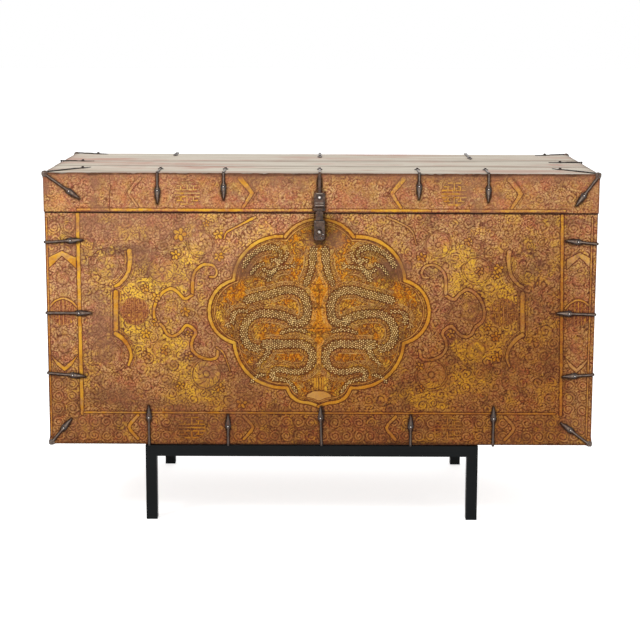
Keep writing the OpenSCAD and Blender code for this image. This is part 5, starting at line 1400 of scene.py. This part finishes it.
def lid_sheet(settings):
    """The whole front of the lid, with its rubbed top edge and the painted shadow and dirt along the iron.
    """
    sheet = scroll_sheet(LID_HALF, LID_TALL, settings, (8, 23), (15, 13, 11.5, 10, 9), 500)
    for place in (-300, 297):
        fret_roundel(sheet, place, 43, 28, {"gilt": 0.8, "pale": 0.4}, half=1.5)
    for tip, way, strength, half in ((-431, 1, 0.12, 3.6), (-155, -1, 1.0, 5.6), (158, 1, 0.6, 5.2),
                                     (446, -1, 0.4, 5.6)):
        line = [(tip + way * across, z) for across, z in ((26, 76), (9, 56), (0, 44), (6, 33), (20, 12))]
        sheet.stroke(line, half, 0.8, taper=0.6 * half, flat=0.25, gilt=strength)
        sheet.mark(np.array(line) + (-way * (half + 5), 0), 0.8, 0.5)
    for left, right, strength in ((-545, -22, 0.95), (18, 250, 0.95), (250, 545, 0.45)):
        sheet.stroke([(left, 5.4), (right, 5.4)], 2.9, 0.9, gilt=strength)
    x, z, shape = sheet.grid_x, sheet.grid_z, sheet.rise.shape
    clouds = cloudy(shape, 31, ((80, 1.0), (30, 0.7), (10, 0.4)))
    patches = cloudy(shape, 33, ((50, 1.0), (18, 0.6), (7, 0.4)))
    reds = cloudy(shape, 35, ((30, 1.0), (12, 0.8)))
    streaks = cloudy(shape, 37, ((22, 1.0), (6, 0.9)))
    flats = cloudy(shape, 39, ((34, 1.0), (12, 0.8)))
    sheet.warm[:] = np.clip(sheet.warm + 0.3 + 0.6 * (clouds - 0.5) + 0.25 * x / LID_HALF, 0, 1)
    sheet.fleck[:] = np.clip(sheet.fleck + 0.2 * ease(0.5, 0.7, clouds), 0, 1)
    sheet.worn[:] = 0.6 * ease(0.58, 0.78, patches)
    sheet.deepen("worn", 0.6 * ease(60, 86, z + 26 * (patches - 0.5)))
    top = ease(80, 88, z + 14 * (clouds - 0.5))
    sheet.deepen("line", 0.9 * top)
    sheet.deepen("red", (0.6 - 0.3 * x / LID_HALF) * ease(0.55, 0.75, reds))
    # Slightly darker towards the right
    sheet.age[:] = 0.06 + 0.1 * x / LID_HALF
    rubbed = ease(62, 84, z + 34 * (patches - 0.5)) * ease(0.3, 0.6, clouds)
    sheet.stain[:] = np.maximum(0.4 * ease(0.56, 0.74, patches), 0.55 * rubbed)
    edge = ease(82, 86, z + 9 * (patches - 0.5)) * (0.3 + 0.3 * ease(0.35, 0.65, streaks))
    sheet.seam[:] = np.maximum(0.9 * (1 - ease(0.4, 1.6, z)), edge)
    ends = 1 - ease(1, 5, np.minimum(x + LID_HALF, LID_HALF - x))
    sheet.deepen("line", np.maximum(0.8 * (1 - ease(0.5, 2.2, z)), 0.7 * ends))
    sheet.mark([(-473, 0), (-474, 30), (-471, 55), (-473, 88)], 0.8, 0.9)
    smooth = 0.1 + 0.5 * ease(0.35, 0.6, flats)
    smooth *= 1 - np.clip(sheet.gilt + sheet.pale, 0, 1)
    sheet.rise[:] = sheet.rise * (1 - smooth) + 0.62 * smooth
    sheet.rise *= (1 - 0.3 * sheet.worn) * (1 - 0.6 * top)
    sheet.gilt *= (1 - 0.4 * sheet.worn) * (0.45 + 0.55 * ease(0.42, 0.6, clouds))
    # Painted shadow and dirt along the cleats, the corner arms and the hasp's strap, and painted shade and
    # dirt round the hasp's plate
    for at, down in zip(LID_CLEAT_X, LID_CLEAT_DOWN):
        shadow_and_grime(sheet, (at, LID_TALL), -90, down)
    for side in (-1, 1):
        across, down = LID_ARM[side]
        way = -math.degrees(math.atan2(down, -side * across))
        shadow_and_grime(sheet, (side * LID_HALF, LID_TALL), way, math.hypot(across, down))
    shadow_and_grime(sheet, (MIDDLE_X, LID_TALL), -90, 44, half=3.4)
    shadow_and_grime(sheet, (MIDDLE_X, 44), -90, 44, half=13, amount=0.6)
    return sheet


class CHEST_OT_lid_gesso(bpy.types.Operator):
    """Builds the painted front of the lid, with its chipped top edge"""

    bl_idname = "chest.lid_gesso"
    bl_label = "Lid gesso"

    def execute(self, context):
        settings = context.scene.chest_gesso
        sheet = lid_sheet(settings)
        chips = cloudy(sheet.rise.shape, 41, ((26, 1.0), (9, 0.8), (4, 0.5)))
        ragged = ease(82, 88.6, sheet.grid_z) * (0.3 + 2.6 * ease(0.45, 0.8, chips))
        half = int(np.searchsorted(sheet.x, 0))
        for name, columns, replaced in (
            ("lid_gesso_left", slice(0, half + 1), ("lid_gesso", "lid_relief")),
            ("lid_gesso_right", slice(half, None), ()),
        ):
            sheet_piece(sheet, name, columns, LID_LOW, LID_FRONT - 2, LID_FRONT - 0.5, "lid", replaced,
                        ragged)
        return {"FINISHED"}


# Boards

# The lid's planks, with where each edge lies at the left and the right end, and a seed
PLANKS = (
    ("lid_plank_front", (-259.5, -259.5), (-86.9, -86.9), 51),
    ("lid_plank_middle", (-86.1, -86.1), (34.1, 76.1), 52),
    ("lid_plank_back", (34.9, 76.9), (261.5, 261.5), 53),
)
PLANK_CELL = (5.0, 3.5)


def plank_grid(front, back, seed):
    """Points over one plank's top, closer together along its edges, with its hollows and wear."""
    def edge_at(ends, x):
        """Where an edge lies at x, between its places at the lid's two ends."""
        return ends[0] + (ends[1] - ends[0]) * (x + LID_HALF) / (2 * LID_HALF)

    columns = int(2 * LID_HALF / PLANK_CELL[0])
    s = np.concatenate([[0, 0.0008, 0.0025], np.linspace(0.006, 0.994, columns), [0.9975, 0.9992, 1]])
    rows = int((edge_at(back, 0) - edge_at(front, 0)) / PLANK_CELL[1])
    t = np.concatenate([[0, 0.004, 0.012], np.linspace(0.03, 0.97, rows), [0.988, 0.996, 1]])
    x = 2 * LID_HALF * s[None, :] - LID_HALF + 0 * t[:, None]
    low, high = edge_at(front, x), edge_at(back, x)
    y = low + (high - low) * t[:, None]
    shape = x.shape
    grain = cloudy(shape, seed, ((9, 0.5), (4, 0.5)))
    long_grain = np.random.default_rng(seed).random(shape[0])[:, None] * np.ones(shape)
    nicks = cloudy(shape, seed + 1, ((14, 1.0), (5, 0.7)))
    to_edge = np.minimum(y - low, high - y)
    to_end = np.minimum(x + LID_HALF, LID_HALF - x)
    edge = np.exp(-to_edge / 2.2) * (0.5 + 1.6 * ease(0.4, 0.8, nicks))
    edge = edge + np.exp(-to_end / 2.5) * (0.6 + nicks)
    drop = 0.05 + 0.35 * grain + 0.22 * long_grain + edge
    dirt = np.clip(np.exp(-to_edge / 6.0) * (0.3 + nicks) + np.exp(-to_end / 6.0) * 0.8, 0, 1)
    return np.stack([x, y, TOP - np.clip(drop, 0, 3.2)], -1), dirt


class CHEST_OT_lid_planks(bpy.types.Operator):
    """Builds the three weathered planks of the lid's top"""

    bl_idname = "chest.lid_planks"
    bl_label = "Lid planks"

    def execute(self, context):
        for node, front, back, seed in PLANKS:
            top, dirt = plank_grid(front, back, seed)
            slab(node + "_top", top, 2, TOP - PLANK_THICK, "look_weathered_wood", "lid",
                 (node,), {"dirt": dirt})
        return {"FINISHED"}


class CHEST_OT_boards(bpy.types.Operator):
    """Gives the CAD boards their lacquer or bare wood, and softens their edges"""

    bl_idname = "chest.boards"
    bl_label = "Boards"

    def execute(self, context):
        kinds = {
            "look_worn_lacquer": (
                "left_end_board", "right_end_board", "lid_left_end", "lid_right_end", "front_board",
                "lid_front_rail",
            ),
            "look_bare_wood": (
                "back_board", "bottom_plank_front", "bottom_plank_middle", "bottom_plank_back",
                "lid_back_rail", "lid_battens",
            ),
        }
        for finish, nodes in kinds.items():
            for node in nodes:
                dress_node(node, finish, WOOD_EDGE)
        return {"FINISHED"}


def dress_node(node, finish, edge):
    """Gives a CAD node its finish and slightly rounded edges, and leaves its mesh alone."""
    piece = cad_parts[node]
    piece.data.materials.clear()
    piece.data.materials.append(finishes()[finish])
    if edge:
        bevel = piece.modifiers.new("edge", "BEVEL")
        bevel.width = edge
        bevel.segments = 2
        bevel.limit_method = "ANGLE"
        bevel.angle_limit = math.radians(40)


# Forged ironwork

def placed(x, y, z, *turns):
    """A place for a flat piece: turns are (axis, degrees), from the outermost to the innermost."""
    matrix = Matrix.Translation((x, y, z))
    for axis, angle in turns:
        matrix = matrix @ Matrix.Rotation(math.radians(angle), 4, axis)
    return matrix


# How a flat piece turns to lie on each face of the chest
FACES = {
    "front": (("X", 90),),
    "back": (("X", 90), ("Y", 180)),
    "left": (("Z", -90), ("X", 90)),
    "right": (("Z", 90), ("X", 90)),
    "top": (),
    "under": (("X", 180),),
}


def on_face(face, x, y, z, turn=0):
    """A place on a face of the chest, turned on it by some degrees."""
    return placed(x, y, z, *FACES[face], ("Z", turn))


def corner_place(x, y, z, sx, sy, sz):
    """A place at a corner, mirrored to point inwards."""
    return Matrix.Translation((x, y, z)) @ Matrix.Diagonal((sx, sy, sz, 1))


def end_caps(sides, last):
    """Triangles over the first row of points of a bar, and over the last one, which starts at `last`."""
    spans = range(1, sides - 1)
    return [(0, i, i + 1) for i in spans] + [(last + i + 1, last + i, last) for i in spans]


class Forge:
    """Collects forged arms, knobs and nails, and then makes one piece of them."""

    SHANK = 5.4
    LEAF = 39.0
    WIDE = 13.4
    THICK = 3.0
    FOLD = 3.0
    KNOB = 8.0
    KNOB_INSET = 4.0
    PROFILE = (
        (0, 0.11, 0.18, 0.26, 0.34, 0.42, 0.6, 0.8, 1),
        (0.31, 0.33, 0.6, 0.94, 1, 0.84, 0.56, 0.34, 0.06),
    )

    # `bright` scales the painted highlight on the crests of the arms
    def __init__(self, seed, hammer, bright=1.0):
        self.draw = np.random.default_rng(seed)
        self.bright = bright
        self.hammer = hammer / MM
        self.points = []
        self.ridge = []
        self.quads = []
        self.fans = []

    def add(self, matrix, points, quads, fans, ridge):
        """Takes in one form, drawn flat at the origin, at a place."""
        first = len(self.points)
        self.ridge.extend(ridge)
        flip = matrix.determinant() < 0
        for p in points:
            self.points.append(tuple(matrix @ Vector(p)))
        for group, target in ((quads, self.quads), (fans, self.fans)):
            for face in group:
                face = tuple(first + i for i in face)
                target.append(face[::-1] if flip else face)

    def arm(self, matrix, length, back=0.0):
        """A half-round shank that opens into a leaf raised along its middle, flat on the surface."""
        shank = length - self.LEAF
        stations = [(-back, self.SHANK / 2, 2.9)]
        for t in np.linspace(0.0, 1.0, 9)[:-1]:
            stations.append((shank * t, self.SHANK / 2 * (1 - 0.22 * t), 2.9 - 0.3 * t))
        for s in (0.0, 0.05, 0.11, 0.18, 0.26, 0.34, 0.42, 0.5, 0.6, 0.7, 0.8, 0.9, 0.96, 1.0):
            half = self.WIDE / 2 * np.interp(s, *self.PROFILE)
            boss = math.exp(-((s - 0.3) / 0.12) ** 2)
            stations.append((shank + self.LEAF * s, half, 2.0 + 0.75 * boss - 0.5 * s))
        across = 9
        last = len(stations) - 1
        points, ridge = [], []
        for k, (at, half, high) in enumerate(stations):
            wobble = self.draw.normal(0, 0.16)
            high = high + self.draw.normal(0, self.hammer)
            for i in range(across):
                a = math.pi * i / (across - 1)
                up = high * (0.28 + 0.72 * math.sin(a) ** 0.8) if 0 < i < across - 1 else 0.0
                x = at if k in (0, last) else at + self.draw.normal(0, 0.05)
                points.append((x, half * math.cos(a) + wobble * (at > 4), min(max(up, 0.0), self.THICK)))
                # Rubbed metal with painted highlight on the crest, and painted shade on the flanks
                u = abs(math.cos(a))
                crest = self.bright * (0.9 if at < shank else 1.1) * min(1, max(0, 1.5 - 2.6 * u))
                ridge.append(crest - 0.5 * min(1, max(0, 2.5 * u - 1.25)))
        quads = [(a + across, b + across, b, a) for a, b in pairs_round(last, across)]
        self.add(matrix, points, quads, end_caps(across, last * across), ridge)

    def nail(self, matrix, length, r=3.2, h=2.6, lift=None):
        """A hand-made nail head on an arm, or at the matrix itself when length is 0."""
        at = length - self.LEAF * 0.70 if length else 0.0
        up = self.THICK - 0.35 if lift is None else lift
        sides = 11
        tilt = self.draw.normal(0, 0.12, 2)
        points, fans = [], []
        levels = ((1.0, 0.0), (1.02, 0.22), (0.88, 0.58), (0.6, 0.86), (0.28, 0.98))
        for share, rise in levels:
            for k in range(sides):
                a = 2 * math.pi * k / sides
                wobble = 1 + 0.05 * math.sin(3 * a + at)
                points.append((at + r * share * wobble * math.cos(a) + tilt[0] * rise,
                               r * share * wobble * math.sin(a) + tilt[1] * rise, up + h * rise * 0.96))
        tip = len(points)
        points.append((at + tilt[0], tilt[1], up + h * 0.96))
        points.append((at, 0, up))
        quads = [(a, b, b + sides, a + sides) for a, b in pairs_round(len(levels) - 1, sides)]
        for a, b in pairs_round(1, sides):
            fans += [(tip - sides + a, tip - sides + b, tip), (b, a, tip + 1)]
        # Painted shadow darkens the outer rim of the head, and a near-white painted glint sits on its top
        ridge = [level for level in (-0.5, -0.5, -0.5, 0.0, 2.0) for _ in range(sides)] + [2.2, 0.0]
        self.add(matrix, points, quads, fans, ridge)

    def bar(self, matrix, length, r, up=0.0, bright=1.5):
        """A low half-round bar across a plate, with its middle at the matrix."""
        rows, across = 5, 7
        points, ridge = [], []
        for at in np.linspace(-length / 2, length / 2, rows):
            swell = r * (1 + self.draw.normal(0, 0.07))
            for i in range(across):
                a = math.pi * i / (across - 1)
                points.append((at, swell * math.cos(a), up + 0.9 * swell * math.sin(a)))
                # Painted highlight on the top of the bar and painted shade on its sides; with `bright`
                # below 0 the whole bar is painted shade
                ridge.append(bright * math.sin(a) ** 2 - 0.5 * (1 - math.sin(a)))
        quads = [(a, a + across, b + across, b) for a, b in pairs_round(rows - 1, across)]
        self.add(matrix, points, quads, end_caps(across, (rows - 1) * across), ridge)

    def knob(self, matrix):
        """The beaten ball where three arms meet at a corner."""
        rings, sides = 9, 18
        inset = self.KNOB_INSET
        points, fans = [], []
        for j in range(1, rings):
            for k in range(sides):
                a, b = math.pi * j / rings, 2 * math.pi * k / sides
                reach = self.KNOB - 0.05 - abs(self.draw.normal(0, self.hammer))
                points.append((inset + reach * math.sin(a) * math.cos(b),
                               inset + reach * math.sin(a) * math.sin(b), inset + reach * math.cos(a)))
        quads = [(a, a + sides, b + sides, b) for a, b in pairs_round(rings - 2, sides)]
        north, south = len(points), len(points) + 1
        points.append((inset, inset, inset + self.KNOB - 0.1))
        points.append((inset, inset, inset - self.KNOB + 0.1))
        for a, b in pairs_round(1, sides):
            fans += [(north, a, b), (south, north - sides + b, north - sides + a)]
        # Random bright spots on the ball: rubbed metal with painted highlight
        self.add(matrix, points, quads, fans, self.draw.random(len(points)) ** 2 * 0.8)

    def corner(self, matrix, front, flat, side, nails=(True, True, True)):
        """A knob with an arm down each of three faces, as the CAD corner mount has them."""
        self.knob(matrix)
        arms = (
            (matrix @ placed(0, 0, 0, ("X", 90)), front),
            (matrix @ Matrix.Diagonal((1, 1, -1, 1)), flat),
            (matrix @ SIDEWAYS, side),
        )
        for (place, (along, up)), nailed in zip(arms, nails):
            place = place @ placed(0, 0, 0, ("Z", math.degrees(math.atan2(up, along))))
            length = math.hypot(along, up)
            self.arm(place, length)
            if nailed:
                self.nail(place, length)

    def cleat(self, place, length):
        """A nailed arm that starts a little behind the edge it is folded over."""
        self.arm(place, length, self.FOLD)
        self.nail(place, length)

    def make(self, name, body, replaces):
        """Makes the piece of all that was forged."""
        add_piece(name, self.points, [self.quads, self.fans], "look_wrought_iron", body,
                  replaces, {"ridge": self.ridge})


# From a corner's place to the arm that lies on the end of the chest
SIDEWAYS = placed(0, 0, 0, ("Z", -90), ("X", 90)) @ Matrix.Diagonal((-1, 1, 1, 1))

CORNERS = (
    (-1, -1, "front_left"),
    (-1, 1, "back_left"),
    (1, -1, "front_right"),
    (1, 1, "back_right"),
)

# Where the mounts and cleats sit, how far they reach and how they slope, as in the CAD model
LID_CLEAT_X = (-366.5, -218.5, 218.5, 373.5)
LID_CLEAT_DOWN = (67.0, 57.9, 56.15, 62.1)
LID_REACH = 116.0
STRAP_REACH = (80.0, 119.0, 154.0)
STRAP_DOWN = 108.0
END_CLEAT_Y = 26.5
END_REACH = 78.0
END_CLEAT_DOWN = 60.0
PLATE_Y = -264.0
STUD_PLATE = (MIDDLE_X + 5, -262.0, 656.0)
BASE_CLEAT_X = (-392.6, -211.8, 2.1, 206.2, 395.4)
BASE_CLEAT_UP = (90.0, 70.0, 90.0, 70.0, 90.0)
BASE_CLEAT_TURN = (90.0, 90.0, 92.0, 90.0, 90.0)
BASE_CLEAT_UNDER = 86.0
EDGE_CLEATS = {
    -1: ((466.0, 4.0, 84.15), (304.8, 0.0, 99.9), (166.0, -5.0, 83.1)),
    1: ((466.0, 6.0, 70.15), (304.8, 2.0, 85.9), (166.0, -4.0, 69.1)),
}
EDGE_END_LENGTH = {-1: 88.0, 1: 74.0}
LID_ARM = {-1: (80.0, 57.5), 1: (51.0, 70.0)}
BASE_ARM = {-1: (50.0, 59.0), 1: (70.0, 53.0)}


class CHEST_OT_lid_iron(bpy.types.Operator):
    """Forges the lid's corner mounts and the cleats folded over its edges"""

    bl_idname = "chest.lid_iron"
    bl_label = "Lid ironwork"

    def execute(self, context):
        hammer = context.scene.chest_iron.hammer
        for sx, sy, corner in CORNERS:
            forge = Forge(100 + sx + 5 * sy, hammer)
            place = corner_place(sx * LID_HALF, sy * LID_FRONT, TOP, -sx, -sy, -1)
            forge.corner(place, LID_ARM[sx], (91.0, 127.0) if sy < 0 else (86.0, 33.0), (64.0, 60.0))
            replaced = [f"lid_corner_{corner}"]
            if corner == "front_left":
                replaced.append("lid_nails")
            forge.make(f"lid_corner_iron_{corner}", "lid", replaced)
        forge = Forge(120, hammer)
        for x, down in zip(LID_CLEAT_X, LID_CLEAT_DOWN):
            forge.cleat(on_face("front", x, -LID_FRONT, TOP, -90), down)
            forge.cleat(on_face("top", x, -LID_FRONT, TOP, 90), LID_REACH)
        forge.make("lid_front_cleat_iron", "lid", ["lid_front_cleats"])
        forge = Forge(121, hammer)
        for face, x, turn in (("left", -LID_HALF, 0), ("right", LID_HALF, 180)):
            forge.cleat(on_face(face, x, END_CLEAT_Y, TOP, -90), END_CLEAT_DOWN)
            forge.cleat(on_face("top", x, END_CLEAT_Y, TOP, turn), END_REACH)
        forge.make("lid_end_cleat_iron", "lid", ["lid_end_cleats"])
        forge = Forge(122, hammer)
        # Nails at the strap ends and on the hasp plate, each with a painted shadow rim and glint, and bars
        # across the plate with painted highlight
        for x, reach in zip(HINGE_X, STRAP_REACH):
            forge.nail(on_face("top", x, LID_FRONT, TOP, -90), reach)
        forge.nail(on_face("top", MIDDLE_X, -LID_FRONT, TOP, 90), LID_REACH)
        forge.nail(on_face("front", MIDDLE_X, PLATE_Y, 747.6), 0, 6.4, 3.4, lift=0.0)
        for z, length, r in ((756.0, 15.0, 1.2), (735.0, 18.0, 1.2), (729.5, 19.0, 1.7)):
            forge.bar(on_face("front", MIDDLE_X, PLATE_Y, z), length, r)
        forge.make("lid_strap_nails", "lid", [])
        return {"FINISHED"}


class CHEST_OT_body_iron(bpy.types.Operator):
    """Forges the body's corner mounts, edge cleats and base cleats"""

    bl_idname = "chest.body_iron"
    bl_label = "Body ironwork"

    def execute(self, context):
        hammer = context.scene.chest_iron.hammer
        for sx, sy, corner in CORNERS:
            forge = Forge(140 + sx + 5 * sy, hammer)
            place = corner_place(sx * BODY_HALF, sy * BODY_FRONT, BODY_LOW, -sx, -sy, 1)
            forge.corner(place, BASE_ARM[sx], (60.0, 60.0), (56.0, 56.0), (True, False, True))
            replaced = [f"base_corner_{corner}"]
            if corner == "front_left":
                replaced.append("body_nails")
            forge.make(f"base_corner_iron_{corner}", "chest", replaced)
            forge = Forge(160 + sx + 5 * sy, hammer)
            for rise, slope, length in EDGE_CLEATS[sx]:
                place = corner_place(sx * BODY_HALF, sy * BODY_FRONT, BODY_LOW + rise, -sx, -sy, 1)
                forge.cleat(place @ placed(0, 0, 0, ("X", 90), ("Z", slope)), length)
                forge.cleat(place @ SIDEWAYS, EDGE_END_LENGTH[sx])
            forge.make(f"edge_cleat_iron_{corner}", "chest", [f"edge_cleats_{corner}"])
        for deep, sy in (("front", -1), ("back", 1)):
            # Base cleats with a weaker painted highlight
            forge = Forge(180 + sy, hammer, 0.3)
            for x, up, turn in zip(BASE_CLEAT_X, BASE_CLEAT_UP, BASE_CLEAT_TURN):
                forge.cleat(on_face(deep, x, sy * BODY_FRONT, BODY_LOW, turn if sy < 0 else 90), up)
                low = on_face("under", x, sy * BODY_FRONT, BODY_LOW, sy * 90)
                forge.arm(low, BASE_CLEAT_UNDER, forge.FOLD)
            forge.make(f"base_cleat_iron_{deep}", "chest", [f"base_{deep}_cleats"])
        forge = Forge(190, hammer)
        # Nails at the strap ends and a small one on the stud's plate, each with a painted shadow rim and
        # glint
        for x in HINGE_X:
            forge.nail(on_face("back", x, BODY_FRONT, BODY_LOW + BODY_TALL, -90), STRAP_DOWN)
        forge.nail(on_face("front", *STUD_PLATE), 0, 2.0, 1.2, lift=0.0)
        forge.make("body_strap_nails", "chest", [])
        return {"FINISHED"}


class CHEST_OT_hinges_and_hasp(bpy.types.Operator):
    """Gives the strap hinges, the hasp and its stud their iron finish, and adds the hasp's lip with painted
    shadow and highlight
    """

    bl_idname = "chest.hinges_and_hasp"
    bl_label = "Hinges and hasp"

    def execute(self, context):
        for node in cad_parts:
            if node.startswith(("lid_strap", "body_strap", "hinge_pin", "hasp", "stud", "lock")):
                # The lock stud gets the bright iron, with near-white painted glints
                kind = {"hasp": "rubbed", "stud": "rubbed", "lock": "bright"}.get(node[:4], "wrought")
                dress_node(node, f"look_{kind}_iron", 0.0 if "pin" in node else IRON_EDGE)
        forge = Forge(123, context.scene.chest_iron.hammer)
        hasp = placed(*HASP_PIN, ("X", -HASP_LIFT))
        # A dark bar of painted shadow over a bright lip with painted highlight, and a small nail with a
        # painted glint
        for z, length, r, up, bright in ((-25.2, 17.0, 1.1, 1.15, -0.5), (-28.4, 21.5, 1.5, 2.0, 0.9)):
            forge.bar(hasp @ on_face("front", 0, 0, z), length, r, up, bright)
        forge.nail(hasp @ on_face("front", 8.4, 0, -56.4), 0, 2.1, 1.0, lift=1.15)
        forge.make("hasp_lip", "hasp", [])
        return {"FINISHED"}


class CHEST_OT_stand(bpy.types.Operator):
    """Gives the stand's square tube its rounded edges and black paint"""

    bl_idname = "chest.stand"
    bl_label = "Steel stand"

    def execute(self, context):
        edge = context.scene.chest_stand.edge
        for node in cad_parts:
            if node.startswith("stand_"):
                dress_node(node, "look_black_steel", edge)
        return {"FINISHED"}


class CHEST_OT_studio(bpy.types.Operator):
    """Sets the floor, the white background, the lights and the camera"""

    bl_idname = "chest.studio"
    bl_label = "Studio"

    def execute(self, context):
        settings = context.scene.chest_studio
        scene = context.scene
        scene.view_settings.view_transform = "Standard"

        mesh = bpy.data.meshes.new("floor")
        mesh.from_pydata([(-30, -30, 0), (30, -30, 0), (30, 30, 0), (-30, 30, 0)], [], [(0, 1, 2, 3)])
        floor = add_object("floor", mesh)
        floor.location.z = -0.0005
        finish = Finish("pale_floor")
        mesh.materials.append(finish.material)
        finish.finish((0.82, 0.82, 0.82), 0.9)
        path = finish.nodes.new("ShaderNodeLightPath")
        seen = finish.sum("MAXIMUM", path.outputs["Is Camera Ray"], path.outputs["Is Glossy Ray"])
        finish.put(finish.shader.inputs["Emission Color"], (1.0, 1.0, 1.0))
        finish.put(finish.shader.inputs["Emission Strength"], finish.sum("MULTIPLY", seen, 0.74))

        world = bpy.data.worlds.new("studio")
        scene.world = world
        world.use_nodes = True
        nodes, links = world.node_tree.nodes, world.node_tree.links
        light = nodes["Background"]
        white = nodes.new("ShaderNodeBackground")
        for background, strength in ((light, settings.sky), (white, 1.0)):
            background.inputs["Color"].default_value = (1, 1, 1, 1)
            background.inputs["Strength"].default_value = strength
        path = nodes.new("ShaderNodeLightPath")
        seen = nodes.new("ShaderNodeMath")
        seen.operation = "MAXIMUM"
        mix = nodes.new("ShaderNodeMixShader")
        for output, socket in (
            (path.outputs["Is Camera Ray"], seen.inputs[0]),
            (path.outputs["Is Transmission Ray"], seen.inputs[1]),
            (seen.outputs[0], mix.inputs[0]),
            (light.outputs[0], mix.inputs[1]),
            (white.outputs[0], mix.inputs[2]),
            (mix.outputs[0], nodes["World Output"].inputs["Surface"]),
        ):
            links.new(output, socket)

        aim = Vector((0, 0, 0.42))
        for name, power, size, at in (
            ("key", settings.key, 1.5, (-2.3, -2.3, 3.3)),
            ("fill", settings.fill, 2.6, (3.0, -2.6, 1.8)),
            ("back", settings.fill * 0.8, 2.4, (0.4, 3.4, 2.6)),
        ):
            lamp = bpy.data.lights.new(name, "AREA")
            lamp.energy = power
            lamp.size = size
            holder = add_object(name, lamp)
            holder.location = at
            holder.rotation_euler = (aim - Vector(at)).to_track_quat("-Z", "Y").to_euler()

        camera = bpy.data.cameras.new("camera")
        camera.lens = settings.lens
        camera.sensor_width = 36
        camera.clip_end = 100
        holder = add_object("camera", camera)
        place = (0.0003, -4.107, 1.160)
        yaw, pitch, roll = -0.0006, 0.1778, 0.0033
        ahead = Vector((math.sin(yaw) * math.cos(pitch), math.cos(yaw) * math.cos(pitch), -math.sin(pitch)))
        level = Vector((math.cos(yaw), -math.sin(yaw), 0))
        upright = level.cross(ahead)
        right = math.cos(roll) * level + math.sin(roll) * upright
        up = -math.sin(roll) * level + math.cos(roll) * upright
        turn = Matrix((right, up, -ahead)).transposed().to_4x4()
        holder.matrix_world = Matrix.Translation(place) @ turn
        scene.camera = holder
        return {"FINISHED"}


SETTINGS = {
    "chest_gesso": GessoSettings,
    "chest_timber": TimberSettings,
    "chest_iron": IronSettings,
    "chest_stand": StandSettings,
    "chest_studio": StudioSettings,
}
STEPS = (
    CHEST_OT_studio,
    CHEST_OT_front_gesso,
    CHEST_OT_beads,
    CHEST_OT_lid_gesso,
    CHEST_OT_lid_planks,
    CHEST_OT_boards,
    CHEST_OT_lid_iron,
    CHEST_OT_body_iron,
    CHEST_OT_hinges_and_hasp,
    CHEST_OT_stand,
)


class CHEST_PT_sidebar(bpy.types.Panel):
    """Lists the chest's settings and the steps that build it"""

    bl_idname = "CHEST_PT_sidebar"
    bl_label = "Painted chest"
    bl_space_type = "VIEW_3D"
    bl_region_type = "UI"
    bl_category = "Chest"

    def draw(self, context):
        for step in STEPS:
            self.layout.operator(step.bl_idname)
        for key in SETTINGS:
            group = getattr(context.scene, key)
            box = self.layout.box()
            for name in group.__annotations__:
                box.prop(group, name)


def register():
    for group in SETTINGS.values():
        bpy.utils.register_class(group)
    for step in STEPS:
        bpy.utils.register_class(step)
    bpy.utils.register_class(CHEST_PT_sidebar)
    for key, group in SETTINGS.items():
        setattr(bpy.types.Scene, key, PointerProperty(type=group))


def unregister():
    for key in SETTINGS:
        delattr(bpy.types.Scene, key)
    bpy.utils.unregister_class(CHEST_PT_sidebar)
    for step in reversed(STEPS):
        bpy.utils.unregister_class(step)
    for group in SETTINGS.values():
        bpy.utils.unregister_class(group)


def main():
    """Registers the add-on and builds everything."""
    register()
    bpy.ops.chest.studio()
    bpy.ops.chest.front_gesso()
    bpy.ops.chest.beads()
    bpy.ops.chest.lid_gesso()
    bpy.ops.chest.lid_planks()
    bpy.ops.chest.boards()
    bpy.ops.chest.lid_iron()
    bpy.ops.chest.body_iron()
    bpy.ops.chest.hinges_and_hasp()
    bpy.ops.chest.stand()


if __name__ == "__main__":
    main()
